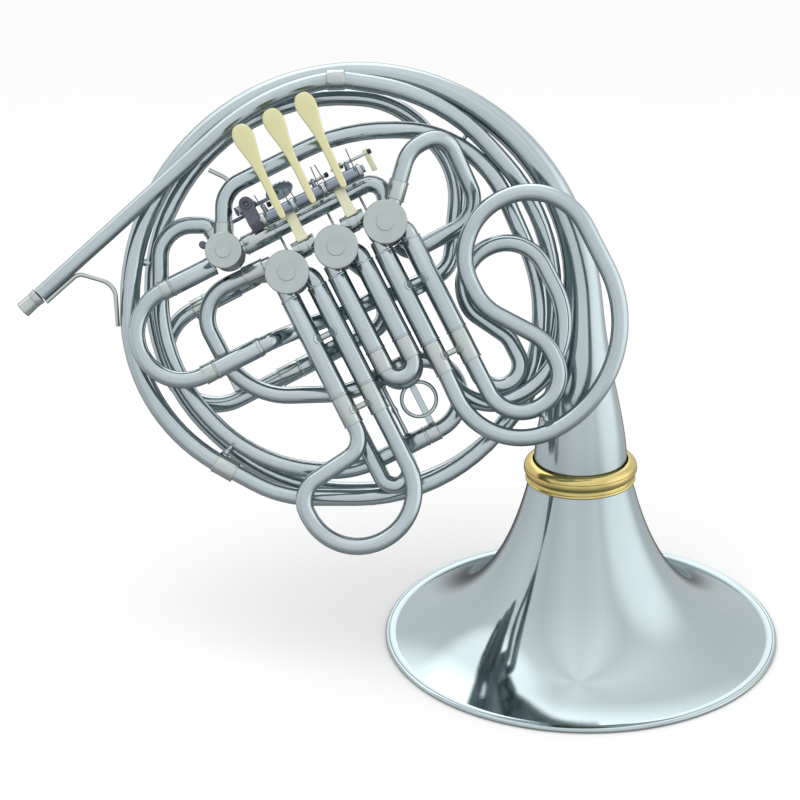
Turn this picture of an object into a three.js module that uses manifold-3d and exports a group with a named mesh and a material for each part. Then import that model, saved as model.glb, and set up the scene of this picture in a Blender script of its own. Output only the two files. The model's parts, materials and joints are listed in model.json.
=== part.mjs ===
// Double French horn with a detachable bell, standing on the rim of the bell.
//
// Millimetres, +Z up. The origin is the bottom centre of the whole object. The bell axis is vertical.
// Two turned groups hold the rest:
//   coil   x right, y up the coil, z out of the coil towards the player's fingers
//   valves nested in coil: x along the row of valves, y across the row, away from the valve slides,
//          z as in coil; its origin is on the axis of valve 1

import * as THREE from 'three';
import { mergeVertices } from 'three/addons/utils/BufferGeometryUtils.js';
import Module from 'manifold-3d';

// ---------------------------------------------------------------- driving dimensions

const RIM_RADIUS = 155;          // 310 mm bell
const JOINT_HEIGHT = 145.5;      // height of the screw joint between flare and tail
const FLARE_SHEET = 1.2;
const FLARE_DEPTH = 37.5;        // sets how quickly the flare closes above the rim
const FLARE_POWER = 0.835;
const FLARE_TAPER = 34;

const RING_BOTTOM = 133.2;       // heights of the gold threaded rings
const RING_TOP = 150.2;
const RING_RADIUS = 43.6;
const MOUTH_RADIUS = 36;         // wide end of the tail, inside the upper ring

const COIL_LEAN = 21.4;          // degrees the coil leans back from the bell axis
const COIL_ROLL = 1.8;           // degrees the coil is turned in its own plane
const BELL_FOOT = [131.52, 0, 0];
const RIM_IN_COIL = [143.5, -184.2, -95.9];

const GAP = 0.3;                 // clearance between touching pieces
const TUBE = 6.4;                // outer radius of the fixed tubes
const BORE = 5.7;
const LEG = 6.35;                // outer radius of a sliding leg
const LEG_BORE = 5.65;
const SLEEVE = 7.3;              // outer radius of an outer slide tube
const SLEEVE_BORE = 6.7;
const ENGAGED = 32;              // length of a valve slide's legs inside their sleeves
const SIDES = 6;
const ARC_SAG = 0.8;             // farthest a bend may stray from its arc, or as a share of its radius
const ARC_SAG_SHARE = 0.018;
const CONE_STRIDE = 34;          // longest step along a conical tube

const VALVE_ONE = [-82.2, 93, 0];
const ROW_ANGLE = 27;            // degrees the row of valves is turned in the coil
const VALVE_PITCH = 40.1;
const CASING_RADIUS = 15.5;
const CHANGE_VALVE = [-34, 35];
const CHANGE_RADIUS = 12.9;
const CASING_BACK = -12;
const CASING_FRONT = 36;
const FRONT_LEVEL = 28;          // z of the front (long) valve slides
const BACK_LEVEL = 11.5;         // z of the back (short) valve slides

const FIRST_LEG = -7;            // x of the left leg of valve 1's slides
const LEG_PITCH = 38.5;
const LEG_SPAN = 21.7;

const MAIN_LEVEL = 17;           // main tuning slide
const MAIN_TOP = 31;
const MAIN_BOTTOM = -38.3;
const MAIN_BOW = -89;
const SIDE_LEVEL = -30;          // side tuning slide
const SIDE_TOP = 13;
const SIDE_BOTTOM = -63.5;
const SIDE_BOW = -78.5;
const LOWER_LEVEL = -3;          // lower tuning slide, with the pull ring
const LOWER_TOP = -98;
const LOWER_BOTTOM = -153;
const LOWER_BOW = 48;

const HINGE = [41.5, 40];        // y and z of the finger lever hinge
const THUMB_HINGE = [58, 18];    // y and z of the thumb lever hinge
const TAIL_Y = 51;               // y of the finger levers' tails
const ARM_LEVEL = -16.5;         // z of the stop arms
const LINK_LEVEL = -21;          // z of the link rods
const ARM_RADIUS = 9;
const BALL_OFFSET = ARM_RADIUS * Math.SQRT1_2;

// ---------------------------------------------------------------- finishes

const silver = { color: 0xc9d2d2, roughness: 0.22, metalness: 1 };
const brightSilver = { color: 0xd9dfdd, roughness: 0.16, metalness: 1 };
const gold = { color: 0xd8b24a, roughness: 0.2, metalness: 1 };
const lacquer = { color: 0xe6dc96, roughness: 0.25, metalness: 0.9 };
const steel = { color: 0x6f7f92, roughness: 0.3, metalness: 1 };

// ---------------------------------------------------------------- solids

const wasm = await Module();
wasm.setup();

const horn = new THREE.Group();
const coil = new THREE.Group();
const valves = new THREE.Group();

function toSolid(geometry) {
  const bare = geometry.clone();
  bare.deleteAttribute('normal');
  bare.deleteAttribute('uv');
  const merged = mergeVertices(bare, 1e-4);
  const vertProperties = new Float32Array(merged.attributes.position.array);
  const triVerts = new Uint32Array(merged.index.array);
  return new wasm.Manifold(new wasm.Mesh({ numProp: 3, vertProperties, triVerts }));
}

function toGeometry(solid) {
  const mesh = solid.getMesh();
  const geometry = new THREE.BufferGeometry();
  geometry.setAttribute('position', new THREE.BufferAttribute(mesh.vertProperties, 3));
  geometry.setIndex(new THREE.BufferAttribute(mesh.triVerts, 1));
  geometry.computeVertexNormals();
  return geometry;
}

function join(...geometries) {
  return toGeometry(geometries.map(toSolid).reduce((sum, solid) => sum.add(solid)));
}

function cut(geometry, ...cutters) {
  return toGeometry(cutters.map(toSolid).reduce((rest, solid) => rest.subtract(solid), toSolid(geometry)));
}

function add(group, name, geometry, finish) {
  const mesh = new THREE.Mesh(geometry, new THREE.MeshStandardMaterial(finish));
  mesh.name = name;
  group.add(mesh);
}

// ---------------------------------------------------------------- tubes along bent routes

// A route is a list of corners [x, y, z, bend radius]: straight runs joined by arcs. Stations are
// placed only where the route bends, and the cross-section is carried along without twist.
class BentPath extends THREE.Curve {
  constructor(corners, sizeAt = () => 1, stride = Infinity) {
    super();
    this.stations = [];
    this.stride = stride;
    const points = corners.map(([x, y, z]) => new THREE.Vector3(x, y, z));
    const last = points.length - 1;
    this.place(points[0], points[1].clone().sub(points[0]).normalize());
    for (let i = 1; i < last; i += 1) {
      this.bend(points[i - 1], points[i], points[i + 1], corners[i][3]);
    }
    this.place(points[last], points[last].clone().sub(points[last - 1]).normalize());
    this.measure(sizeAt);
  }

  // Adds a station, with others before it where the straight run up to it is longer than the stride.
  place(point, tangent) {
    const previous = this.stations.at(-1);
    const pieces = previous ? Math.ceil(point.distanceTo(previous.point) / this.stride) : 1;
    for (let i = 1; i < pieces; i += 1) {
      const between = previous.point.clone().lerp(point, i / pieces);
      this.stations.push({ point: between, tangent: previous.tangent });
    }
    this.stations.push({ point, tangent });
  }

  bend(before, corner, after, radius) {
    const into = corner.clone().sub(before).normalize();
    const out = after.clone().sub(corner).normalize();
    const turn = into.angleTo(out);
    const inset = radius * Math.tan(turn / 2);
    const start = corner.clone().addScaledVector(into, -inset);
    const side = out.clone().addScaledVector(into, -out.dot(into)).normalize();
    const sag = Math.max(ARC_SAG, radius * ARC_SAG_SHARE);
    const step = 2 * Math.acos(1 - Math.min(0.5, sag / radius));
    const steps = Math.max(Math.ceil(turn / step), Math.ceil(turn * radius / this.stride));
    for (let i = 0; i <= steps; i += 1) {
      const angle = turn * i / steps;
      const point = start.clone()
        .addScaledVector(into, radius * Math.sin(angle))
        .addScaledVector(side, radius * (1 - Math.cos(angle)));
      const tangent = into.clone().multiplyScalar(Math.cos(angle)).addScaledVector(side, Math.sin(angle));
      this.place(point, tangent);
    }
  }

  measure(sizeAt) {
    let travelled = 0;
    this.stations.forEach((station, i) => {
      travelled += i ? station.point.distanceTo(this.stations[i - 1].point) : 0;
      station.size = sizeAt(travelled);
    });
  }

  getSpacedPoints() {
    return this.stations.map((station) => station.point);
  }

  // The frame's own vectors carry the local size of the section.
  computeFrenetFrames() {
    const tangents = this.stations.map((station) => station.tangent);
    const normal = new THREE.Vector3(0, 0, 1);
    if (Math.abs(tangents[0].z) > 0.9) {
      normal.set(0, 1, 0);
    }
    const normals = [];
    const binormals = [];
    tangents.forEach((tangent, i) => {
      normal.addScaledVector(tangent, -normal.dot(tangent)).normalize();
      const { size } = this.stations[i];
      normals.push(normal.clone().multiplyScalar(size));
      binormals.push(new THREE.Vector3().crossVectors(tangent, normal).multiplyScalar(size));
    });
    return { tangents, normals, binormals };
  }
}

function polygon(target, radius, sides) {
  for (let i = 0; i < sides; i += 1) {
    const angle = (i + 0.5) * 2 * Math.PI / sides;
    const point = [radius * Math.cos(angle), radius * Math.sin(angle)];
    if (i) {
      target.lineTo(...point);
    } else {
      target.moveTo(...point);
    }
  }
  target.closePath();
  return target;
}

function sweep(section, corners, sizeAt, stride) {
  const extrudePath = new BentPath(corners, sizeAt, stride);
  const steps = extrudePath.stations.length - 1;
  return new THREE.ExtrudeGeometry(section, { steps, extrudePath, bevelEnabled: false });
}

function pipe(corners, radius = TUBE, bore = BORE) {
  const section = polygon(new THREE.Shape(), radius, SIDES);
  section.holes.push(polygon(new THREE.Path(), bore, SIDES));
  return sweep(section, corners);
}

function rod(corners, radius, sides = SIDES) {
  return sweep(polygon(new THREE.Shape(), radius, sides), corners);
}

// A tube whose radius changes along its route, in millimetres travelled.
function coneTube(corners, radiusAt, wall, sides) {
  const section = polygon(new THREE.Shape(), 1, sides);
  const outside = sweep(section, corners, radiusAt, CONE_STRIDE);
  const inside = sweep(section, corners, (travelled) => radiusAt(travelled) - wall, CONE_STRIDE);
  return cut(outside, inside);
}

// A flat strip, its width along the route's first normal and its thickness across that.
function strip(corners, width, thickness) {
  const section = new THREE.Shape();
  section.moveTo(-width / 2, -thickness / 2);
  section.lineTo(width / 2, -thickness / 2);
  section.lineTo(width / 2, thickness / 2);
  section.lineTo(-width / 2, thickness / 2);
  section.closePath();
  return sweep(section, corners);
}

// A turned piece about +Z: profile of [radius, z], starting and ending on the axis or closed.
function turned(profile, x = 0, y = 0, segments = 16) {
  const geometry = new THREE.LatheGeometry(profile.map(([r, z]) => new THREE.Vector2(r, z)), segments);
  geometry.rotateX(Math.PI / 2);
  geometry.translate(x, y, 0);
  return geometry;
}

function disc(x, y, radius, low, high, segments = 16) {
  return turned([[0, low], [radius, low], [radius, high], [0, high]], x, y, segments);
}

function box(low, high) {
  const [a, b] = [new THREE.Vector3(...low), new THREE.Vector3(...high)];
  const size = b.clone().sub(a);
  const middle = a.add(b).multiplyScalar(0.5);
  return new THREE.BoxGeometry(...size).translate(...middle);
}

// A ferrule over the joint of two tubes: it clears the first one and is part of the second.
function socket(from, joint, to, radius, clearance) {
  return join(pipe([from, to], radius, clearance), pipe([joint, to], radius));
}

// ---------------------------------------------------------------- placing

const radians = THREE.MathUtils.degToRad;
coil.rotation.set(radians(90 - COIL_LEAN), 0, -radians(COIL_ROLL));
coil.position.set(...BELL_FOOT).sub(new THREE.Vector3(...RIM_IN_COIL).applyEuler(coil.rotation));
valves.position.set(...VALVE_ONE);
valves.rotation.z = radians(ROW_ANGLE);
valves.updateMatrix();
coil.add(valves);
horn.add(coil);

// The point of the bell axis at a height above the rim, in the coil group.
function onBellAxis(height) {
  const up = new THREE.Vector3(0, 0, height).applyQuaternion(coil.quaternion.clone().invert());
  return up.add(new THREE.Vector3(...RIM_IN_COIL)).toArray();
}

// ---------------------------------------------------------------- bell

const bell = new THREE.Group();
bell.position.set(...BELL_FOOT);
horn.add(bell);

function flareRadius(height) {
  return RIM_RADIUS * (1 + height / FLARE_DEPTH) ** -FLARE_POWER - height / FLARE_TAPER;
}

function bellFlare() {
  const levels = 8;
  const top = JOINT_HEIGHT - GAP;
  const heights = Array.from({ length: levels }, (_, i) => 5 + (top - 5) * (i / (levels - 1)) ** 1.8);
  const wire = [
    [RIM_RADIUS - 4, 1.5],
    [RIM_RADIUS - 2.6, 0],
    [RIM_RADIUS - 1, 0],
    [RIM_RADIUS, 2],
    [RIM_RADIUS - 2, 4.2],
  ];
  const outside = heights.map((height) => [flareRadius(height), height]);
  const inside = heights.map((height) => [flareRadius(height) - FLARE_SHEET, height - FLARE_SHEET / 2]);
  inside[levels - 1][1] = top;
  return turned([...wire, ...outside, ...inside.reverse(), wire[0]], 0, 0, 28);
}

function lockRing({ low, high, innerLow, innerHigh }) {
  const shoulder = (high - low) * 0.22;
  return turned([
    [innerLow, low],
    [RING_RADIUS - 1.8, low],
    [RING_RADIUS, low + shoulder],
    [RING_RADIUS, high - shoulder],
    [RING_RADIUS - 1.8, high],
    [innerHigh, high],
    [innerLow, low],
  ], 0, 0, 24);
}

add(bell, 'bell_flare', bellFlare(), silver);
add(bell, 'bell_ring_lower', lockRing({
  low: RING_BOTTOM,
  high: JOINT_HEIGHT - GAP,
  innerLow: flareRadius(RING_BOTTOM) + 4 * GAP,
  innerHigh: flareRadius(JOINT_HEIGHT) + 2 * GAP,
}), gold);
add(bell, 'bell_ring_upper', lockRing({
  low: JOINT_HEIGHT + GAP,
  high: RING_TOP,
  innerLow: MOUTH_RADIUS + 2 * GAP,
  innerHigh: MOUTH_RADIUS + GAP,
}), gold);

// The conical outer turn, from the bell ring round to its small ferrule: its throat opens quickly
// towards the bell and the rest tapers slowly.
function branchRadius(travelled) {
  const throat = 20 * Math.exp(-((travelled / 92) ** 2));
  const taper = 9.3 * Math.exp(-travelled / 260);
  return MOUTH_RADIUS - 29.3 + taper + throat;
}

add(coil, 'bell_branch', coneTube([
  onBellAxis(JOINT_HEIGHT + GAP),
  [...onBellAxis(215), 90],
  [140, 244, 0, 170],
  [-202, 244, 0, 170],
  [-202, -9, 0, 130],
  [-131, -50, -2],
], branchRadius, 0.8, 8), silver);

// ---------------------------------------------------------------- valves

const VALVE_X = [0, 1, 2].map((k) => k * VALVE_PITCH);

function valveBody(x, y, radius) {
  return disc(x, y, radius + GAP, CASING_BACK - 2, CASING_FRONT + 6);
}

const cutters = VALVE_X.map((x) => valveBody(x, 0, CASING_RADIUS));
const changeCutter = valveBody(...CHANGE_VALVE, CHANGE_RADIUS);
const changeCutterInCoil = changeCutter.clone().applyMatrix4(valves.matrix);

function casing(x, y, radius) {
  const bore = radius - 2.7;
  const floor = CASING_BACK + 4;
  return turned([
    [3.4, CASING_BACK],
    [radius, CASING_BACK],
    [radius, CASING_FRONT],
    [bore, CASING_FRONT],
    [bore, floor],
    [3.4, floor],
    [3.4, CASING_BACK],
  ], x, y);
}

function cap(x, y, radius) {
  const seat = CASING_FRONT + GAP;
  return turned([
    [0, seat],
    [radius, seat],
    [radius, seat + 3.8],
    [6.5, seat + 3.8],
    [6.5, seat + 4.5],
    [0, seat + 4.5],
  ], x, y, 16);
}

// Rotor with its shaft and stop arm; the arm's pin stands at the given angle in degrees.
function rotor(x, y, radius, armAngle) {
  const angle = radians(armAngle);
  const pin = [x + ARM_RADIUS * Math.cos(angle), y + ARM_RADIUS * Math.sin(angle)];
  const core = turned([
    [0, ARM_LEVEL - 1.5],
    [3, ARM_LEVEL - 1.5],
    [3, CASING_BACK + 4 + GAP],
    [radius - 3, CASING_BACK + 4 + GAP],
    [radius - 3, CASING_FRONT - 2],
    [0, CASING_FRONT - 2],
  ], x, y, 12);
  const arm = rod([[x, y, ARM_LEVEL], [...pin, ARM_LEVEL]], 1.3, 6);
  return join(core, arm, disc(...pin, 1.6, LINK_LEVEL - 1.8, ARM_LEVEL + 1.8, 8));
}

const LINK_SIDE = [1, 1, -1];    // side of the rotor that the link rod pulls on
VALVE_X.forEach((x, k) => {
  const shells = [casing(x, 0, CASING_RADIUS)];
  if (k < 2) {
    [FRONT_LEVEL, BACK_LEVEL].forEach((z) => {
      const link = rod([[x, 14, z], [x + VALVE_PITCH, 14, z]], 5.1);
      const drum = disc(x, 0, CASING_RADIUS - 1, CASING_BACK - 2, CASING_FRONT + 6);
      shells.push(cut(link, drum, cutters[k + 1]));
    });
  }
  const armAngle = LINK_SIDE[k] > 0 ? 45 : 135;
  add(valves, `valve_${k + 1}_casing`, join(...shells), silver);
  add(valves, `valve_${k + 1}_cap`, cap(x, 0, CASING_RADIUS + 0.7), brightSilver);
  add(valves, `valve_${k + 1}_rotor`, rotor(x, 0, CASING_RADIUS, armAngle), brightSilver);
});
add(valves, 'change_valve_casing', casing(...CHANGE_VALVE, CHANGE_RADIUS), silver);
add(valves, 'change_valve_cap', cap(...CHANGE_VALVE, CHANGE_RADIUS + 0.5), brightSilver);
add(valves, 'change_valve_rotor', rotor(...CHANGE_VALVE, CHANGE_RADIUS, -45), brightSilver);

// ---------------------------------------------------------------- fixed tubes

const ringTube = pipe([
  [-130.6, -50.2, -2],
  [-88, -73, -3, 90],
  [105, -73, -3, 138],
  [105.5, 91, -3, 120],
  [57, 201, 2, 85],
  [-41, 201, 10, 150],
  [-130.5, 155.4, 14, 22],
  [-130.5, 112, 14],
]);
const branchFerrule = socket([-136, -47.2, -2], [-130.6, -50.2, -2], [-122, -55, -2.1], 9.4, 8.7);
add(coil, 'ring_tube', join(cut(ringTube, changeCutterInCoil), branchFerrule), silver);

add(coil, 'leadpipe', coneTube([
  [-266, 78, 15],
  [-99, 229, 15.5, 160],
  [-47, 237, 16.5],
], (travelled) => Math.min(6.4, 5.6 + travelled / 300), 0.8, SIDES), silver);

add(coil, 'mouthpiece_receiver', join(
  pipe([[-279, 66.3, 15], [-266.3, 77.7, 15]], 5.6, 4.3),
  pipe([[-269.5, 74.9, 15], [-266.3, 77.7, 15]], 6.3, 4.3),
), brightSilver);

const mouthpipeFlange = socket([-50, 236.6, 16.5], [-45, 237, 16.5], [-41, 236.6, 16.3], 8.3, 7.8);
add(coil, 'mouthpipe_ring_tube', join(mouthpipeFlange, pipe([
  [-45, 237, 16.5],
  [31, 227, 11, 145],
  [118, 134, -5, 145],
  [113, 13, -18, 138],
  [28, -68, -18, 138],
  [-90, -69, -18, 138],
  [-181, 11, -18, 145],
  [-193, 140, -14, 145],
  [-97, 233, -15, 140],
  [0, 227, -17, 70],
  [45, 173, -19, 60],
  [38, 98, -18, 22],
  ...mouthpipeTail(),
])), silver);

add(coil, 'leadpipe_strap', strip([
  [-261.5, 72.4, 15],
  [-238, 93.6, 14, 8],
  [-212, 86, 8, 14],
  [-210.6, 55, 2],
], 4.2, 3), brightSilver);

// The last stretch of the mouthpipe ring tube, behind the valve slides and up to the main slide.
function mouthpipeTail() {
  return [
    [-13, MAIN_BOTTOM, -10, 12],
    [-33, MAIN_BOTTOM, MAIN_LEVEL, 12],
    [-41.7, MAIN_BOTTOM, MAIN_LEVEL],
  ].map(([x, y, z, bend]) => [...new THREE.Vector3(x, y, z).applyMatrix4(valves.matrix), bend]);
}

add(coil, 'change_valve_ring_tube', cut(pipe([
  [-129, 110, -3],
  [-143, 131, -3, 10],
  [-180, 131, -3, 24],
  [-179, 24, -3, 130],
  [-105, -53, -3, 120],
  [-33, -53, -3, 80],
  [-0.3, -36.8, LOWER_LEVEL],
]), changeCutterInCoil), silver);

add(valves, 'change_to_valve_3_tube', cut(pipe([
  [CHANGE_VALVE[0] + 4, 34, 11],
  [94, 34, 11, 11],
  [85, 8, 11],
]), changeCutter, cutters[2]), silver);

add(valves, 'valve_1_loop_tube', cut(pipe([
  [-3, 11, 14],
  [-72, 15, 6, 27],
  [-72, -65, -3, 55],
  [-2, -98, LOWER_LEVEL, 60],
  [13.2, LOWER_TOP, LOWER_LEVEL],
]), cutters[0]), silver);

add(valves, 'valve_3_loop_tube', cut(pipe([
  [92, 3, 24],
  [120, 41, 24, 25],
  [150, 41, 22, 16],
  [149, -25, -2, 24],
  [86, -25, -5, 10],
  [84, -8, -5],
]), cutters[2]), silver);

add(valves, 'side_slide_upper_tube', cut(pipe([
  [-39.7, SIDE_TOP, SIDE_LEVEL],
  [-24, SIDE_TOP, SIDE_LEVEL, 8],
  [-24, SIDE_TOP, -3, 8],
  [-4, 3, -3],
]), cutters[0]), silver);

add(valves, 'side_slide_lower_tube', cut(pipe([
  [12.3, SIDE_BOTTOM, SIDE_LEVEL],
  [53, SIDE_BOTTOM, SIDE_LEVEL, 16],
  [53, -24, SIDE_LEVEL + 2, 8],
  [53, -24, -4, 8],
  [47, -6, -4],
]), cutters[1]), silver);

// ---------------------------------------------------------------- tuning slides

function sleeve(from, mouth) {
  return pipe([from, mouth], SLEEVE, SLEEVE_BORE);
}

// A tuning slide whose legs lie along the row of valves. Its sleeves end at mouthTop and mouthBottom.
function rowSlide({ side, top, bottom, level, bow, mouthTop, mouthBottom, engaged }) {
  const bend = (top - bottom) / 2;
  const far = bow + side * bend;
  const inside = -side * engaged;
  return pipe([
    [mouthTop + inside, top, level],
    [far, top, level, bend - 0.01],
    [far, bottom, level, bend - 0.01],
    [mouthBottom + inside, bottom, level],
  ], LEG, LEG_BORE);
}

const MAIN_LEGS = { mouthTop: -82, mouthBottom: -80, engaged: 32 };
add(valves, 'main_slide_sleeve_upper', cut(
  sleeve([CHANGE_VALVE[0], MAIN_TOP, MAIN_LEVEL], [MAIN_LEGS.mouthTop, MAIN_TOP, MAIN_LEVEL]),
  changeCutter,
), silver);
add(valves, 'main_slide_sleeve_lower', sleeve(
  [-42, MAIN_BOTTOM, MAIN_LEVEL],
  [MAIN_LEGS.mouthBottom, MAIN_BOTTOM, MAIN_LEVEL],
), silver);
add(valves, 'main_tuning_slide', rowSlide({
  side: -1, top: MAIN_TOP, bottom: MAIN_BOTTOM, level: MAIN_LEVEL, bow: MAIN_BOW, ...MAIN_LEGS,
}), silver);

const SIDE_LEGS = { mouthTop: -68, mouthBottom: -26, engaged: 26 };
add(valves, 'side_slide_sleeve_upper', sleeve(
  [-40, SIDE_TOP, SIDE_LEVEL],
  [SIDE_LEGS.mouthTop, SIDE_TOP, SIDE_LEVEL],
), silver);
add(valves, 'side_slide_sleeve_lower', sleeve(
  [12, SIDE_BOTTOM, SIDE_LEVEL],
  [SIDE_LEGS.mouthBottom, SIDE_BOTTOM, SIDE_LEVEL],
), silver);
const sideStrut = strip([
  [-76, SIDE_TOP - 5.9, SIDE_LEVEL],
  [-76, SIDE_BOTTOM + 5.9, SIDE_LEVEL],
], 1.2, 5);
add(valves, 'side_tuning_slide', join(rowSlide({
  side: -1, top: SIDE_TOP, bottom: SIDE_BOTTOM, level: SIDE_LEVEL, bow: SIDE_BOW, ...SIDE_LEGS,
}), sideStrut), silver);

const LOWER_LEGS = { mouthTop: 37, mouthBottom: 37, engaged: 22 };
add(valves, 'lower_slide_sleeves', join(
  sleeve([13.5, LOWER_TOP, LOWER_LEVEL], [37, LOWER_TOP, LOWER_LEVEL]),
  sleeve([13.5, LOWER_BOTTOM, LOWER_LEVEL], [37, LOWER_BOTTOM, LOWER_LEVEL]),
  rod([[24, LOWER_TOP - 6.5, LOWER_LEVEL], [24, LOWER_BOTTOM + 6.5, LOWER_LEVEL]], 1.9),
), silver);
const RING_AT = [44, -126, LOWER_LEVEL];
const pullRing = new THREE.TorusGeometry(12.4, 1.3, 5, 20);
pullRing.translate(...RING_AT);
const ringBar = strip([[44, -113, LOWER_LEVEL], [44, LOWER_BOTTOM + 6, LOWER_LEVEL]], 1.4, 5);
add(valves, 'lower_tuning_slide', join(rowSlide({
  side: 1, top: LOWER_TOP, bottom: LOWER_BOTTOM, level: LOWER_LEVEL, bow: LOWER_BOW, ...LOWER_LEGS,
}), pullRing, ringBar), silver);

// ---------------------------------------------------------------- valve slides

// Each valve has a long slide at the front and a short one behind it. A slide's route runs from its
// left leg, through the crook, back up its right leg; x is given from the left leg.
const MOUTHS = [-98, -80, -93];
const frontCrooks = [
  [[0, -139, 0, 17], [-60, -146, 0, 19], [-60, -206, 0, 40], [LEG_SPAN, -206, 0, 41]],
  [[0, -106, 0, 10.8], [LEG_SPAN, -106, 0, 10.8]],
  [
    [0, -112, 0, 60],
    [-3, -191, 1, 52],
    [139, -190, 7, 88],
    [139, -23, 7, 46],
    [46, -23, 2, 46],
    [46, -87, 0, 40],
    [76, -130, 0, 35],
    [76, -171, 0, 26.5],
    [LEG_SPAN, -171, 0, 26.5],
  ],
];
const backCrooks = [
  [[0, -176, 0, 10.8], [LEG_SPAN, -176, 0, 10.8]],
  [[0, -109, 0, 10.8], [LEG_SPAN, -109, 0, 10.8]],
  [
    [0, -158, 0, 38],
    [101, -157, 3, 60],
    [101, -49, 3, 31],
    [38, -49, 0, 31],
    [38, -86, 0, 20],
    [54, -115, 0, 20],
    [54, -146, 0, 16],
    [LEG_SPAN, -146, 0, 16],
  ],
];

function sleevePair(x, mouth, level, cutter) {
  const right = x + LEG_SPAN;
  const braceY = level === FRONT_LEVEL ? mouth + 44.5 : mouth + 38;
  const tie = rod([[x + 6.5, braceY, level], [right - 6.5, braceY, level]], 1.9);
  return join(
    cut(sleeve([x, -2, level], [x, mouth, level]), cutter),
    cut(sleeve([right, -2, level], [right, mouth, level]), cutter),
    tie,
  );
}

function valveSlide(x, mouth, level, crook) {
  const right = x + LEG_SPAN;
  const top = mouth + ENGAGED;
  const corners = crook.map(([dx, y, dz, bend]) => [x + dx, y, level + dz, bend]);
  return pipe([[x, top, level], ...corners, [right, top, level]], LEG, LEG_BORE);
}

MOUTHS.forEach((mouth, k) => {
  const x = FIRST_LEG + k * LEG_PITCH;
  const valve = `valve_${k + 1}`;
  add(valves, `${valve}_front_sleeves`, sleevePair(x, mouth, FRONT_LEVEL, cutters[k]), silver);
  add(valves, `${valve}_back_sleeves`, sleevePair(x, mouth, BACK_LEVEL, cutters[k]), silver);
  add(valves, `${valve}_front_slide`, valveSlide(x, mouth, FRONT_LEVEL, frontCrooks[k]), silver);
  add(valves, `${valve}_back_slide`, valveSlide(x, mouth, BACK_LEVEL, backCrooks[k]), silver);
});

// ---------------------------------------------------------------- finger levers

const [HINGE_Y, HINGE_Z] = HINGE;
const POSTS = [2.5, 26.5, 51.5, 80.5];

function paddle(x) {
  const outline = new THREE.Shape();
  outline.moveTo(-2.8, -5);
  outline.lineTo(2.8, -5);
  outline.lineTo(3, 34);
  outline.lineTo(8.2, 57);
  outline.absarc(0, 59, 8.5, -0.2, Math.PI + 0.2, false);
  outline.lineTo(-3, 34);
  outline.closePath();
  const plate = new THREE.ExtrudeGeometry(outline, { depth: 1.8, bevelEnabled: false, curveSegments: 6 });
  plate.rotateZ(radians(-2.5));
  plate.translate(0, 0, 2.8);
  plate.rotateX(radians(3));
  return plate.translate(x, HINGE_Y, HINGE_Z);
}

VALVE_X.forEach((valveX, k) => {
  const left = POSTS[k] + 1.6;
  const right = POSTS[k + 1] - 1.6;
  const tailX = valveX + LINK_SIDE[k] * BALL_OFFSET;
  const barrel = pipe([[left, HINGE_Y, HINGE_Z], [right, HINGE_Y, HINGE_Z]], 4.4, 2.2);
  const bore = rod([[left - 1, HINGE_Y, HINGE_Z], [right + 1, HINGE_Y, HINGE_Z]], 2.2);
  const tail = rod([
    [tailX, HINGE_Y + 2.8, HINGE_Z],
    [tailX, TAIL_Y, HINGE_Z, 4],
    [tailX, TAIL_Y, LINK_LEVEL - 2],
  ], 1.5, 6);
  add(valves, `lever_${k + 1}`, cut(join(barrel, paddle(15.7 + 24.8 * k), tail), bore), lacquer);
  add(valves, `link_rod_${k + 1}`, rod([
    [tailX, BALL_OFFSET + 2.4, LINK_LEVEL],
    [tailX, TAIL_Y - 2.4, LINK_LEVEL],
  ], 1.3, 6), steel);
});

add(valves, 'lever_hinge_rod', rod([[0.5, HINGE_Y, HINGE_Z], [82.5, HINGE_Y, HINGE_Z]], 1.8), steel);

function leverSaddle() {
  const pieces = [box([1.2, 36, 24], [81.8, 45, 26])];
  POSTS.forEach((x) => pieces.push(box([x - 1.1, 36, 24], [x + 1.1, 45, 43])));
  [17, 57].forEach((x) => {
    pieces.push(box([x, 35, 24], [x + 8, 37, 35.2]));
    pieces.push(box([x, 9, 33.8], [x + 8, 37, 35.2]));
  });
  return cut(join(...pieces), rod([[0, HINGE_Y, HINGE_Z], [83, HINGE_Y, HINGE_Z]], 2.2));
}

add(valves, 'lever_saddle', leverSaddle(), lacquer);

// ---------------------------------------------------------------- thumb lever

const [THUMB_Y, THUMB_Z] = THUMB_HINGE;
const changeLinkX = CHANGE_VALVE[0] + BALL_OFFSET;
const thumbBarrel = pipe([[-12, THUMB_Y, THUMB_Z], [48, THUMB_Y, THUMB_Z]], 3.4, 2);
const thumbArm = rod([
  [-10, THUMB_Y, THUMB_Z - 2.6],
  [-10, THUMB_Y, LINK_LEVEL, 5],
  [changeLinkX - 1.5, THUMB_Y, LINK_LEVEL],
], 1.5, 6);
const thumbTail = rod([[37, THUMB_Y, THUMB_Z - 2.6], [37, THUMB_Y + 3, -13]], 2, 6);
const thumbPlate = new THREE.CylinderGeometry(11, 11, 2, 20).scale(1, 1, 1.35).rotateX(Math.PI / 2);
thumbPlate.translate(37, THUMB_Y + 14, -13);
add(valves, 'thumb_lever', join(thumbBarrel, thumbArm, thumbTail, thumbPlate), steel);
add(valves, 'thumb_hinge_rod', join(
  rod([[-14.5, THUMB_Y, THUMB_Z], [50.5, THUMB_Y, THUMB_Z]], 1.6),
  box([-14.5, THUMB_Y - 3, THUMB_Z - 3], [-12.4, THUMB_Y + 6, THUMB_Z + 3]),
  box([48.4, THUMB_Y - 3, THUMB_Z - 3], [50.5, THUMB_Y + 7, THUMB_Z + 3]),
), lacquer);
add(valves, 'change_link_rod', rod([
  [changeLinkX, CHANGE_VALVE[1] - BALL_OFFSET + 2.4, LINK_LEVEL],
  [changeLinkX, THUMB_Y - 2.4, LINK_LEVEL],
], 1.3, 6), steel);

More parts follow.
